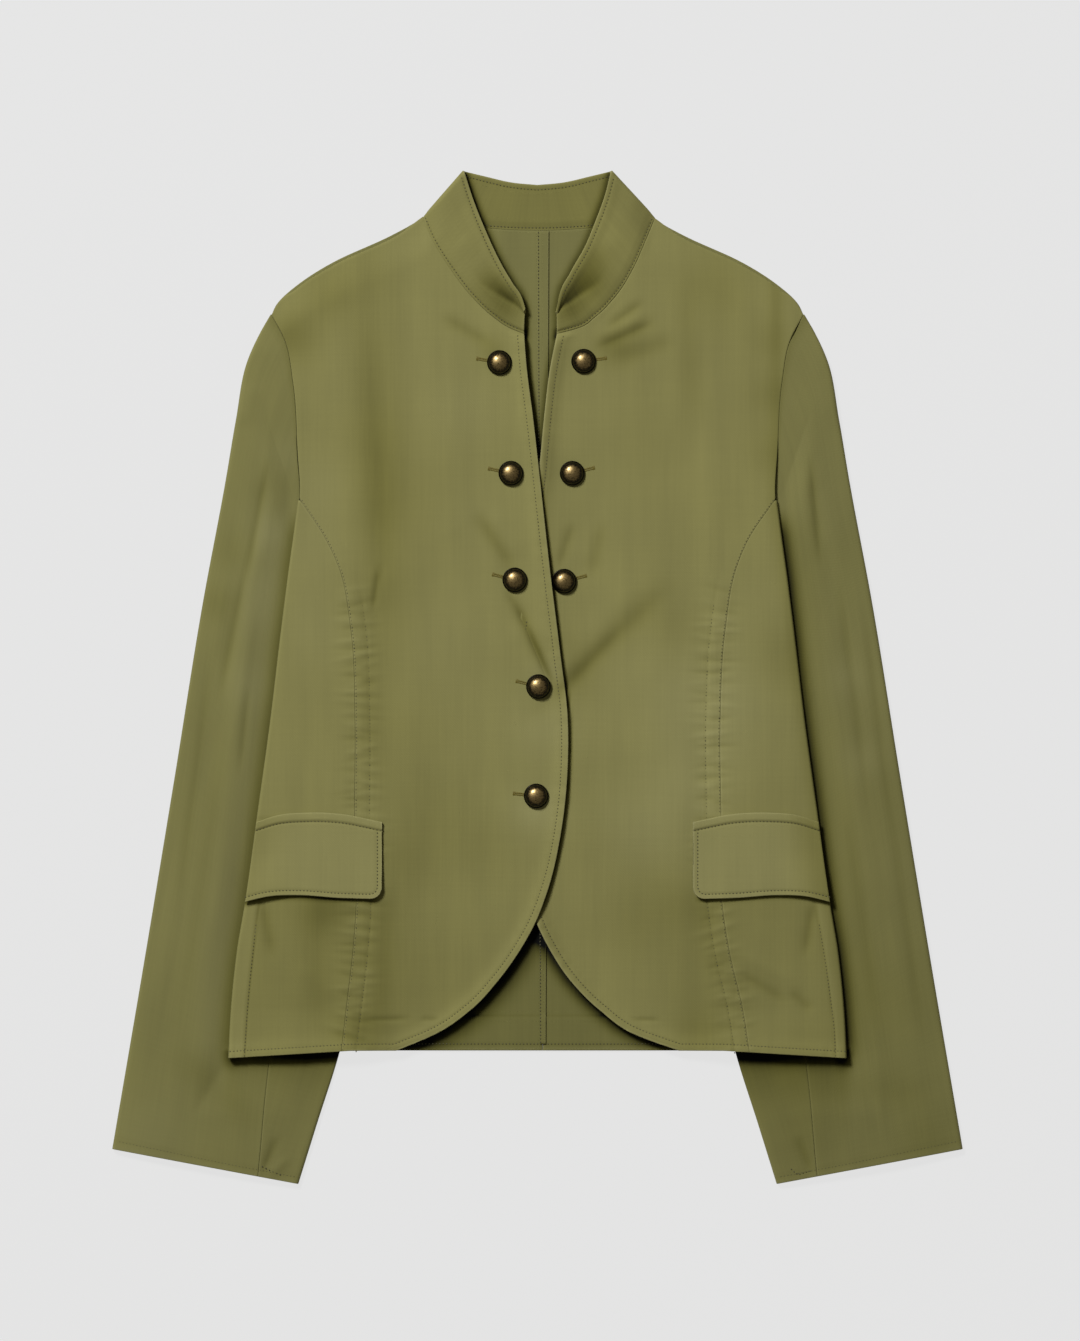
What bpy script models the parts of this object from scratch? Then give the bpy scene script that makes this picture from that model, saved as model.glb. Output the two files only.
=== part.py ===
"""Military jacket laid flat on its back: stand collar, princess seams, two-piece sleeves, flaps, domed buttons.

The cloth is a thin wall. The sleeves lie on the floor and pass under the body, the back lies on the floor and
rises over the sleeves, and the fronts lie over the back. Right and left are the wearer's, so the right side is
at -X. Lengths below are millimetres, +Y runs to the collar and +Z is up from the floor.
"""

import math
from collections import namedtuple

import bpy
import numpy as np

MM = 0.001
CLOTH_WALL = 1.2
DOUBLED_WALL = 2.2
STRIP_WALL = 1.0
SEAM_GAP = 0.3

# Heights of the layers, measured between the middles of two walls.
FREE_RISE = 4.0
PRESSED_SLEEVE_RISE = 1.8
BACK_LIFT = 3.4
FRONT_LIFT = 1.6
SHOULDER_RISE = 1.5
LEFT_LAP_DROP = 1.2
RIGHT_LAP_RISE = 0.5
LAP_INNER = 30.0
LAP_OUTER = 75.0
SHOULDER_ROUND = 30.0
SHOULDER_INSET = 2.5
BACK_RAMP = 15.0
FRONT_RAMP = 60.0
SLEEVE_RAMP = 40.0
COVER_MARGIN = 2.0
PRESSED_MARGIN = 14.0

# Landmarks of one side, as distances from the centre line.
NECK_Y = 344.0
NECK_FRONT_Y = 257.5
SHOULDER_TIP = (199.5, 272.0)
PRINCESS_TOP_Y = 133.0
SIDE_TOP = (179.5, 130.0)
SIDE_TOP_TURN = 3.0
UNDERARM = (92.0, 94.0)
HEM_Y = -280.0
HEM_DROP = 7.0
HEM_DROP_INNER = 140.0
HEM_DROP_OUTER = 231.0
HEM_DROP_TOP = -200.0
BACK_NECK_Y = 335.0
BACK_NECK_FOOT_Y = 290.0
BACK_NECK_RISE = 9.0
BACK_NECK_HALF = 86.0
CENTRE_BACK_X = 4.0
SHOULDER_SLOPE = 0.55
SHOULDER_STEP = 4.0
STRIP_HALF_WIDTH = 4.5
STRIP_END_GAP = 1.0
STRIP_LIFT = CLOTH_WALL + SEAM_GAP + STRIP_WALL / 2

BUTTON_RADIUS = 9.3
BUTTON_HEIGHT = 6.6
BUTTON_RIM = 1.2
BUTTON_BEVEL = 0.6
BUTTON_SIDES = 16
BUTTON_DOME_ANGLES = np.radians([28, 52, 74])
FLAP_CORNER = 9.0
FLAP_OVERHANG = 0.5
FLAP_RIDGE = 0.7
FLAP_RIDGE_WIDTH = 6.0
FLAP_RIDGE_FOOT = 2.0
FLAP_DEPTH = 60.0
COLLAR_BULGE = 0.9
COLLAR_TOP_RISE = 0.4
COLLAR_LEVEL_Y = 300.0
COLLAR_FOLD = 2.0
COLLAR_BACK_FOLD = 3.4
SLEEVE_BACK_SEAM = 20.0
SLEEVE_ROW_POWER = 1.35

# Rows that the fronts and the collar share along the neck seam.
NECK_ROWS = np.concatenate((
    np.linspace(NECK_Y - 3, SHOULDER_TIP[1], 7),
    np.linspace(SHOULDER_TIP[1], NECK_FRONT_Y, 3)[1:],
))

# Rows that the fronts and the back share with the sleeves along the armhole.
FRONT_ARMHOLE_ROWS = np.linspace(NECK_FRONT_Y, PRINCESS_TOP_Y, 7)
BACK_ARMHOLE_ROWS = np.linspace(SHOULDER_TIP[1], UNDERARM[1], 7)

# Rows that the back and the side panels share along the side seam.
SIDE_ROWS = np.linspace(UNDERARM[1], HEM_Y, 15)

# Rows that the centre and side panels share along the princess seam, which runs straight between them.
UNDERARM_ROWS = np.linspace(SIDE_TOP[1], UNDERARM[1], 5)
PRINCESS_ROWS = np.concatenate(([PRINCESS_TOP_Y], UNDERARM_ROWS[:-1], SIDE_ROWS))

Shoulder = namedtuple("Shoulder", "y x")
SHOULDER = (
    Shoulder(344, 86.0),
    Shoulder(330, 112.5),
    Shoulder(312, 152.0),
    Shoulder(294, 180.5),
    Shoulder(280, 195.5),
    Shoulder(272, 199.5),
)

Armhole = namedtuple("Armhole", "y front back")
ARMHOLE = (
    Armhole(272, 199.5, 199.5),
    Armhole(254, 190.0, 187.0),
    Armhole(222, 183.5, 170.5),
    Armhole(170, 180.0, 146.5),
    Armhole(133, 178.5, 125.0),
    Armhole(121, 180.0, 116.5),
    Armhole(94, 184.0, 92.0),
)

Neck = namedtuple("Neck", "y right left")
NECK = (
    Neck(344, 86.0, 88.0),
    Neck(326, 78.0, 80.5),
    Neck(307, 66.0, 72.0),
    Neck(285, 49.0, 58.0),
    Neck(270, 33.0, 43.0),
    Neck(262, 21.0, 31.0),
    Neck(257.5, 10.0, 14.5),
)

# The front edges, as x on the floor: the right one laps over the left one between the V and the hem.
FrontEdge = namedtuple("FrontEdge", "y right left")
FRONT_EDGE = (
    FrontEdge(257.5, -10.0, 14.5),
    FrontEdge(232, -8.0, 9.4),
    FrontEdge(196, -3.4, 5.0),
    FrontEdge(159, 0.8, 1.5),
    FrontEdge(81, 9.4, -8.0),
    FrontEdge(19, 17.0, -16.0),
    FrontEdge(-30, 22.7, -21.5),
    FrontEdge(-70, 22.6, -21.5),
    FrontEdge(-112, 18.4, -16.5),
    FrontEdge(-162, 7.0, -7.5),
    FrontEdge(-185, -2.0, -0.4),
    FrontEdge(-204, -14.0, 9.0),
    FrontEdge(-228, -33.0, 25.0),
    FrontEdge(-250, -55.0, 47.0),
    FrontEdge(-268, -82.0, 73.0),
    FrontEdge(-280, -106.0, 106.0),
)

Body = namedtuple("Body", "y fold princess_right princess_left")
BODY = (
    Body(133, 179.0, 178.0, 178.0),
    Body(104, 182.8, 159.0, 158.5),
    Body(84, 185.6, 149.5, 149.8),
    Body(37, 191.6, 140.0, 141.0),
    Body(-34, 200.1, 136.7, 137.0),
    Body(-100, 209.2, 137.0, 137.6),
    Body(-169, 218.8, 135.8, 138.4),
    Body(-206, 225.0, 138.4, 144.0),
    Body(-250, 229.7, 143.5, 154.2),
    Body(-280, 231.3, 147.0, 158.8),
)

# How far behind the side fold the side seam lies, on the underside.
SideSeam = namedtuple("SideSeam", "y behind")
SIDE_SEAM = (
    SideSeam(94, 92.0),
    SideSeam(64, 70.0),
    SideSeam(9, 42.0),
    SideSeam(-34, 28.0),
    SideSeam(-100, 14.0),
    SideSeam(-169, 8.0),
    SideSeam(-280, 6.0),
)

SleeveFold = namedtuple("SleeveFold", "x y")
SLEEVE_OUTER = (
    SleeveFold(199.5, 272),
    SleeveFold(207.0, 259),
    SleeveFold(217.0, 237),
    SleeveFold(226.0, 193),
    SleeveFold(234.0, 148),
    SleeveFold(251.0, 58),
    SleeveFold(273.0, -77),
    SleeveFold(295.0, -212),
    SleeveFold(318.4, -354),
)
SLEEVE_INNER = (
    SleeveFold(92.0, 94),
    SleeveFold(87.0, 58),
    SleeveFold(97.0, -20),
    SleeveFold(111.0, -92),
    SleeveFold(130.0, -190),
    SleeveFold(149.0, -281),
    SleeveFold(166.0, -335),
    SleeveFold(180.0, -380),
)
SleeveSeam = namedtuple("SleeveSeam", "along across")
SLEEVE_SEAM = (
    SleeveSeam(0.00, 0.74),
    SleeveSeam(0.50, 0.68),
    SleeveSeam(0.87, 0.73),
    SleeveSeam(1.00, 0.785),
)

# Top edge of the collar's leaves, each row across from a height on the neck seam.
Leaf = namedtuple("Leaf", "y right_x right_y left_x left_y")
COLLAR_LEAF = (
    Leaf(257.5, 9.5, 279.0, 14.0, 278.0),
    Leaf(261.0, 12.0, 287.0, 18.0, 292.0),
    Leaf(270.0, 19.0, 297.0, 25.0, 304.0),
    Leaf(285.0, 28.0, 309.0, 34.0, 321.0),
    Leaf(307.0, 39.0, 334.0, 43.0, 343.0),
    Leaf(326.0, 48.5, 359.0, 50.5, 362.0),
    Leaf(344.0, 55.0, 379.5, 55.0, 379.5),
)
BackCollar = namedtuple("BackCollar", "neck_x top_x top_y")
COLLAR_BACK = (
    BackCollar(86.0, 55.0, 379.5),
    BackCollar(60.0, 40.0, 372.5),
    BackCollar(30.0, 20.0, 369.6),
    BackCollar(0.0, 0.0, 369.0),
)

Flap = namedtuple("Flap", "x top bottom")
FLAP = (
    Flap(116.5, -108.5, -166.5),
    Flap(150.0, -102.5, -165.5),
    Flap(180.0, -101.5, -163.5),
    Flap(203.0, -103.5, -164.5),
    Flap(219.5, -108.5, -168.5),
)

Button = namedtuple("Button", "name side x y")
BUTTONS = (
    Button("button_right_1", -1, -28.6, 236),
    Button("button_right_2", -1, -20.0, 153),
    Button("button_right_3", -1, -17.0, 73),
    Button("button_right_4", -1, 0.7, -7),
    Button("button_right_5", -1, -1.0, -89),
    Button("button_left_1", 1, 34.6, 237),
    Button("button_left_2", 1, 26.0, 153),
    Button("button_left_3", 1, 20.0, 72),
)

# The largest folds: soft ridges (height above zero) and troughs between two points on the floor.
Fold = namedtuple("Fold", "x0 y0 x1 y1 width height")
FRONT_FOLDS = (
    Fold(-12, 48, 11, -4, 9, 0.9),
    Fold(-46, 122, -17, 80, 11, 0.7),
    Fold(80, 47, 26, -4, 12, 0.9),
    Fold(48, 118, 36, 82, 9, 0.6),
    Fold(48, 249, 78, 263, 9, 0.9),
    Fold(-119, 86, -123, 48, 9, 0.8),
    Fold(-130, 270, -121, 160, 14, -0.6),
    Fold(122, 262, 118, 150, 14, -0.5),
)
SLEEVE_FOLDS = (
    Fold(-204, 152, -216, 90, 9, -0.9),
    Fold(-221, 76, -237, -4, 10, -0.9),
    Fold(-214, 224, -222, 186, 8, 0.8),
    Fold(206, 152, 210, 98, 9, -0.9),
    Fold(206, 252, 226, 184, 8, 0.8),
    Fold(244, 20, 258, -70, 11, -0.8),
)

TWILL_FRONT = (0.216, 0.202, 0.075)
TWILL_SLEEVE = (0.174, 0.165, 0.058)
TWILL_INSIDE = (0.168, 0.162, 0.058)
TWILL_FLAP = (0.231, 0.220, 0.089)
BRASS = (0.150, 0.115, 0.060)


def column(table, name):
    """One named column of a table as an array."""
    return np.array([getattr(row, name) for row in table], dtype=float)


def smooth(keys, values, at):
    """Smooth curve through a table's rows, read at the given keys and held level past the ends."""
    order = np.argsort(keys)
    keys = np.asarray(keys, dtype=float)[order]
    values = np.asarray(values, dtype=float)[order]
    slopes = np.gradient(values, keys)
    at = np.clip(at, keys[0], keys[-1])
    cell = np.clip(np.searchsorted(keys, at, side="right") - 1, 0, len(keys) - 2)
    width = keys[cell + 1] - keys[cell]
    t = (at - keys[cell]) / width
    start = (1 + 2 * t) * (1 - t) ** 2 * values[cell] + t * (1 - t) ** 2 * width * slopes[cell]
    end = t ** 2 * (3 - 2 * t) * values[cell + 1] - t ** 2 * (1 - t) * width * slopes[cell + 1]
    return start + end


def by_y(table, name, y):
    """A table's column as a smooth function of its y column."""
    return smooth(column(table, "y"), column(table, name), y)


def path(points, t):
    """Points on a smooth path through the given points, t from 0 to 1 by length."""
    points = np.asarray(points, dtype=float)
    steps = np.linalg.norm(np.diff(points, axis=0), axis=1)
    length = np.concatenate(([0.0], np.cumsum(steps)))
    at = np.asarray(t) * length[-1]
    return np.stack([smooth(length, points[:, k], at) for k in range(points.shape[1])], axis=-1)


def ease(t):
    """Smooth step from 0 to 1."""
    t = np.clip(t, 0.0, 1.0)
    return t * t * (3 - 2 * t)


def round_off(t):
    """Quarter circle from 0 at t = 0 to 1 at t = 1 and beyond."""
    return np.sqrt(1 - (1 - np.clip(t, 0.0, 1.0)) ** 2)


def fold_steps(count=3):
    """Steps from 1 to -1 that walk round a fold at even angles."""
    angles = np.linspace(math.pi / 2, -math.pi / 2, 2 * count + 1)
    return np.sign(angles) * (1 - np.cos(angles))


def folds_height(folds, x, y):
    """Height that a table of folds adds at a place, each fold tapering to its ends."""
    total = np.zeros(np.broadcast(x, y).shape)
    for fold in folds:
        along = np.array([fold.x1 - fold.x0, fold.y1 - fold.y0])
        length = np.linalg.norm(along)
        along = along / length
        t = ((x - fold.x0) * along[0] + (y - fold.y0) * along[1]) / length
        off = (x - fold.x0) * along[1] - (y - fold.y0) * along[0]
        taper = ease(np.clip(2 - 2 * np.abs(2 * t - 1), 0, 1))
        total = total + fold.height * taper * np.exp(-((off / fold.width) ** 2))
    return total


def sleeve_cover(x, y, ramp):
    """1 where a sleeve lies under the body, falling to 0 over the ramp's width around it."""
    out = np.abs(x)
    slope = (SIDE_TOP[1] - UNDERARM[1]) / (SIDE_TOP[0] - UNDERARM[0])
    below_armhole = UNDERARM[1] + slope * (out - UNDERARM[0]) - y
    past_inner_fold = out - by_y(SLEEVE_INNER, "x", y)
    inside = np.minimum(below_armhole, past_inner_fold)
    return ease((inside + COVER_MARGIN + ramp) / ramp)


def back_height(x, y):
    """Middle of the back's wall: on the floor, and raised over the sleeves."""
    return CLOTH_WALL / 2 + BACK_LIFT * sleeve_cover(x, y, BACK_RAMP)


def shoulder_y(x):
    """The shoulder line's y, rising steeply inside the neck point so that the neck isn't rounded down."""
    out = np.abs(x)
    inner = NECK_Y + (SHOULDER[0].x - out)
    return np.where(out < SHOULDER[0].x, inner, smooth(column(SHOULDER, "x"), column(SHOULDER, "y"), out))


def front_height(side, x, y):
    """Middle of a front's wall: over the back, down to the shoulder seam, lapped at the centre."""
    z = CLOTH_WALL / 2 + FREE_RISE + FRONT_LIFT * sleeve_cover(x, y, FRONT_RAMP)
    lap = ease((LAP_OUTER - side * x) / (LAP_OUTER - LAP_INNER))
    z = z + lap * (-LEFT_LAP_DROP if side > 0 else RIGHT_LAP_RISE)
    z = z + folds_height(FRONT_FOLDS, x, y)
    seam = CLOTH_WALL / 2 + SHOULDER_RISE
    return seam + (z - seam) * ease((shoulder_y(x) - y) / SHOULDER_ROUND)


def hem_drop(x, y):
    """How far the hem sinks towards the sides."""
    across = np.clip((np.abs(x) - HEM_DROP_INNER) / (HEM_DROP_OUTER - HEM_DROP_INNER), 0, 1)
    return HEM_DROP * across * np.clip((HEM_DROP_TOP - y) / (HEM_DROP_TOP - HEM_Y), 0, 1)


def princess_x(side, y):
    """Princess seam of one side, as a distance from the centre."""
    name = "princess_left" if side > 0 else "princess_right"
    return np.interp(-y, -PRINCESS_ROWS, by_y(BODY, name, PRINCESS_ROWS))


def seam_behind(y):
    """Edge of the side panel behind the side fold: the underarm first, then the side seam."""
    t = np.clip((SIDE_TOP[1] - y) / (SIDE_TOP[1] - UNDERARM[1]), 0, 1)
    underarm = SIDE_TOP_TURN + (SIDE_SEAM[0].behind - SIDE_TOP_TURN) * t
    return np.where(y > UNDERARM[1], underarm, by_y(SIDE_SEAM, "behind", y))


def solid_from_sheet(name, middle, wall, colour, roughness=0.85, metallic=0.0):
    """A closed wall round a grid of middle points (rows, columns, xyz in mm), as a new object."""
    rows, cols = middle.shape[:2]
    normal = np.cross(np.gradient(middle, axis=1), np.gradient(middle, axis=0))
    normal = normal / np.linalg.norm(normal, axis=2, keepdims=True)
    half = np.broadcast_to(np.asarray(wall) / 2, (rows, cols))[..., None]
    points = np.concatenate(((middle + normal * half).reshape(-1, 3), (middle - normal * half).reshape(-1, 3)))
    back = rows * cols

    def at(i, j):
        return i * cols + j

    faces = []
    for i in range(rows - 1):
        for j in range(cols - 1):
            quad = (at(i, j), at(i, j + 1), at(i + 1, j + 1), at(i + 1, j))
            faces.append(quad)
            faces.append(tuple(back + k for k in reversed(quad)))
    rim = [at(0, j) for j in range(cols)]
    rim += [at(i, cols - 1) for i in range(1, rows)]
    rim += [at(rows - 1, j) for j in range(cols - 2, -1, -1)]
    rim += [at(i, 0) for i in range(rows - 2, 0, -1)]
    for here, there in zip(rim, rim[1:] + rim[:1]):
        faces.append((there, here, back + here, back + there))
    return add_object(name, points, faces, colour, roughness, metallic)


def add_object(name, points, faces, colour, roughness, metallic):
    """A mesh object with its own material, from points in mm."""
    mesh = bpy.data.meshes.new(name)
    mesh.from_pydata((points * MM).tolist(), [], faces)
    mesh.update()
    material = bpy.data.materials.new(name)
    material.use_nodes = True
    shader = material.node_tree.nodes["Principled BSDF"]
    shader.inputs["Base Color"].default_value = (*colour, 1.0)
    shader.inputs["Roughness"].default_value = roughness
    shader.inputs["Metallic"].default_value = metallic
    mesh.materials.append(material)
    mesh.shade_smooth()
    mesh.set_sharp_from_angle(angle=math.radians(40))
    made = bpy.data.objects.new(name, mesh)
    bpy.context.scene.collection.objects.link(made)
    return made


def side_name(side):
    """The wearer's side: left is at +X."""
    return "left" if side > 0 else "right"


def front_centre(side):
    """Centre panel of a front, from the shoulder and neck down to the cutaway hem."""
    y = np.concatenate((
        NECK_ROWS,
        FRONT_ARMHOLE_ROWS[1:],
        PRINCESS_ROWS[1:-3],
        np.linspace(SIDE_ROWS[-4], HEM_Y, 7)[1:],
    ))
    name = side_name(side)
    shoulder = by_y(SHOULDER, "x", y) - SHOULDER_INSET
    outer = np.where(y > PRINCESS_TOP_Y, by_y(ARMHOLE, "front", y), princess_x(side, y)) - SEAM_GAP / 2
    outer = side * np.where(y > SHOULDER_TIP[1], shoulder, outer)
    inner = np.where(y > NECK_FRONT_Y, side * by_y(NECK, name, y), by_y(FRONT_EDGE, name, y))
    across = np.linspace(0, 1, 9)
    x = outer[:, None] + (inner - outer)[:, None] * across
    y = np.broadcast_to(y[:, None], x.shape)
    y = y - hem_drop(x, y)
    sheet = np.stack((x, y, front_height(side, x, y)), axis=-1)
    solid_from_sheet(f"front_{name}_centre", sheet, CLOTH_WALL, TWILL_FRONT)


def fold_radius(side, y):
    """Half the height between front and back at the side fold."""
    x = side * by_y(BODY, "fold", y)
    return (front_height(side, x, y) - back_height(x, y)) / 2


def body_ring(side, past, y):
    """Points round the flattened body: past > 0 lies on the front, past < 0 on the back, 0 at the fold."""
    x = side * (by_y(BODY, "fold", y) - np.abs(past))
    low = y - hem_drop(x, y)
    top = front_height(side, x, low)
    bottom = back_height(x, low)
    rounded = round_off(np.abs(past) / fold_radius(side, y))
    z = (top + bottom) / 2 + np.sign(past) * (top - bottom) / 2 * rounded
    return np.stack((x, low, z), axis=-1)


def between(first, last, count):
    """Columns between two edges that each hold a value a row, the last one left out."""
    return first[:, None] + (last - first)[:, None] * np.arange(count) / count


def front_side(side):
    """Side panel of a front: from the princess seam round the side fold to the side seam under it."""
    y = np.concatenate((UNDERARM_ROWS, SIDE_ROWS[1:]))
    start = by_y(BODY, "fold", y) - princess_x(side, y) - SEAM_GAP / 2
    radius = fold_radius(side, y)
    turn = radius[:, None] * fold_steps()
    behind = between(seam_behind(y) - SEAM_GAP / 2, radius, 4)[:, ::-1]
    past = np.concatenate((between(start, radius, 5), turn, -behind), axis=1)
    sheet = body_ring(side, past, np.broadcast_to(y[:, None], past.shape))
    solid_from_sheet(f"front_{side_name(side)}_side", sheet, CLOTH_WALL, TWILL_FRONT)


def back_half(side):
    """Half of the back: neck, shoulder, armhole notch, then the side seam behind the fold."""
    y = np.concatenate((
        np.linspace(BACK_NECK_Y - SEAM_GAP, SHOULDER_TIP[1], 6),
        BACK_ARMHOLE_ROWS[1:],
        SIDE_ROWS[1:],
    ))
    neck = np.clip((y - BACK_NECK_FOOT_Y) / (BACK_NECK_Y - BACK_NECK_FOOT_Y), 0, 1)
    shoulder = by_y(SHOULDER, "x", y + neck * SHOULDER_STEP)
    side_seam = by_y(BODY, "fold", y) - seam_behind(y) - SEAM_GAP / 2
    edge = np.where(y > UNDERARM[1], by_y(ARMHOLE, "back", y) - 2 * SEAM_GAP, side_seam)
    edge = np.where(y > SHOULDER_TIP[1], shoulder, edge)
    inner_fold = by_y(SLEEVE_INNER, "x", y)
    ramp_top = np.minimum(edge - 1, inner_fold + COVER_MARGIN + 1)
    ramp_foot = np.minimum(ramp_top - 1, inner_fold - COVER_MARGIN - BACK_RAMP)
    centre = np.full(len(y), side * CENTRE_BACK_X + SEAM_GAP / 2)
    out = np.concatenate((
        between(edge, ramp_top, 3),
        between(ramp_top, ramp_foot, 3),
        between(ramp_foot, centre, 4),
        centre[:, None],
    ), axis=1)
    rows = np.broadcast_to(y[:, None], out.shape)
    x = side * out
    low = rows + back_neck_rise(x) * neck[:, None] - hem_drop(x, rows)
    sheet = np.stack((x, low, back_height(x, rows)), axis=-1)
    solid_from_sheet(f"back_{side_name(side)}", sheet, CLOTH_WALL, TWILL_INSIDE)


def back_seam():
    """The sewn-down strip along the centre back seam, on the inside of the back."""
    y = np.linspace(BACK_NECK_Y - STRIP_END_GAP, HEM_Y + STRIP_END_GAP, 12)
    x = CENTRE_BACK_X + STRIP_HALF_WIDTH * np.linspace(-1, 1, 3)
    grid_x, grid_y = np.meshgrid(x, y)
    sheet = np.stack((grid_x, grid_y, np.full(grid_x.shape, STRIP_LIFT)), axis=-1)
    solid_from_sheet("back_seam", sheet, STRIP_WALL, TWILL_INSIDE)


def sleeve_top(x, y):
    """Middle of the upper wall of a sleeve: free, low at the shoulder tip, pressed under the body."""
    out = np.abs(x)
    below_hem = HEM_Y - HEM_DROP - PRESSED_MARGIN - y
    aside = np.maximum(out - by_y(BODY, "fold", y) - PRESSED_MARGIN, np.maximum(y - SIDE_TOP[1], below_hem))
    pressed = 1 - ease(aside / SLEEVE_RAMP)
    rise = SHOULDER_RISE + (FREE_RISE - SHOULDER_RISE) * ease((SHOULDER_TIP[1] - y) / SHOULDER_ROUND)
    rise = rise + folds_height(SLEEVE_FOLDS, x, y)
    return CLOTH_WALL / 2 + rise + (PRESSED_SLEEVE_RISE - rise) * pressed


def sleeve_cap(layer):
    """A sleeve's seam edge from the shoulder tip to the underarm, and how far along it each point is."""
    low = SIDE_TOP[1] if layer > 0 else UNDERARM[1]
    y = np.linspace(SHOULDER_TIP[1], low, 60)
    x = by_y(ARMHOLE, "front" if layer > 0 else "back", y) + SEAM_GAP
    line = np.concatenate((np.stack((x, y), axis=1), [UNDERARM]))
    length = np.concatenate(([0.0], np.cumsum(np.linalg.norm(np.diff(line, axis=0), axis=1))))
    return line, length / length[-1]


def cap_share(layer, y):
    """How far along the seam edge of a sleeve the given heights are."""
    line, share = sleeve_cap(layer)
    return np.interp(-y, -line[:, 1], share)


def sleeve_point(side, layer, across, along):
    """Points on a flattened sleeve: across 0 at the outer fold and 1 at the inner, along from cap to cuff."""
    outer = path(SLEEVE_OUTER, along)
    inner = path(SLEEVE_INNER, along)
    width = np.linalg.norm(inner - outer, axis=-1)
    line, share = sleeve_cap(layer)
    cap = np.stack((np.interp(across, share, line[:, 0]), np.interp(across, share, line[:, 1])), axis=-1)
    tip = np.array(SLEEVE_OUTER[0])
    pit = np.array(SLEEVE_INNER[0])
    cuff_outer = np.array(SLEEVE_OUTER[-1])
    cuff_inner = np.array(SLEEVE_INNER[-1])
    u = across[..., None]
    v = along[..., None]
    cuff = cuff_outer + (cuff_inner - cuff_outer) * u
    corners = (1 - v) * ((1 - u) * tip + u * pit) + v * cuff
    flat = (1 - u) * outer + u * inner + (1 - v) * cap + v * cuff - corners
    x = side * flat[..., 0]
    y = flat[..., 1]
    top = sleeve_top(x, y)
    half = (top - CLOTH_WALL / 2) / 2
    edge = np.minimum(across, 1 - across) * width
    z = CLOTH_WALL / 2 + half + layer * half * round_off(edge / half)
    return np.stack((x, y, z), axis=-1)


def sleeve_half(side, part):
    """Upper or under piece of a two-piece sleeve, each wrapped round one fold of the flat tube."""
    along = np.linspace(0, 1, 16) ** SLEEVE_ROW_POWER
    outer = path(SLEEVE_OUTER, along)
    inner = path(SLEEVE_INNER, along)
    width = np.linalg.norm(inner - outer, axis=1)
    seam = smooth(column(SLEEVE_SEAM, "along"), column(SLEEVE_SEAM, "across"), along)
    gap = SEAM_GAP / 2 / width
    back_seam_at = SLEEVE_BACK_SEAM / width
    fold = outer if part == "upper" else inner
    radius = (sleeve_top(side * fold[:, 0], fold[:, 1]) - CLOTH_WALL / 2) / 2 / width
    turn = fold_steps()[None, :] * radius[:, None]
    if part == "upper":
        under = between(back_seam_at - gap, radius, 2)
        shared = np.tile(cap_share(1, np.append(FRONT_ARMHOLE_ROWS, SIDE_TOP[1])), (len(along), 1))
        signed = np.concatenate((-under, -turn, shared, (seam - gap)[:, None]), axis=1)
    else:
        over = between(1 - seam - gap, radius, 4)
        shared = np.tile(1 - cap_share(-1, BACK_ARMHOLE_ROWS[-2:0:-1]), (len(along), 1))
        signed = np.concatenate((over, turn, -shared, (back_seam_at + gap - 1)[:, None]), axis=1)
    across = np.abs(signed) if part == "upper" else 1 - np.abs(signed)
    rows = np.broadcast_to(along[:, None], across.shape)
    upper = sleeve_point(side, 1, across, rows)
    lower = sleeve_point(side, -1, across, rows)
    sheet = np.where((signed >= 0)[..., None], upper, lower)
    solid_from_sheet(f"sleeve_{side_name(side)}_{part}", sheet, CLOTH_WALL, TWILL_SLEEVE)


def back_neck_rise(x):
    """How far the back's neck edge and the shoulder next to it rise above the centre of the neck."""
    out = np.abs(x)
    shoulder = np.maximum(BACK_NECK_RISE - SHOULDER_SLOPE * (out - BACK_NECK_HALF), SHOULDER_STEP)
    return np.minimum(BACK_NECK_RISE * (out / BACK_NECK_HALF) ** 2, shoulder)


def band_points(neck, top, rows):
    """Rows across a band from its neck edge, just clear of the seam, to its top edge."""
    reach = top - neck
    start = neck + SEAM_GAP * reach / np.linalg.norm(reach, axis=1, keepdims=True)
    return start[:, None, :] + (top - start)[:, None, :] * rows[None, :, None]


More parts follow.
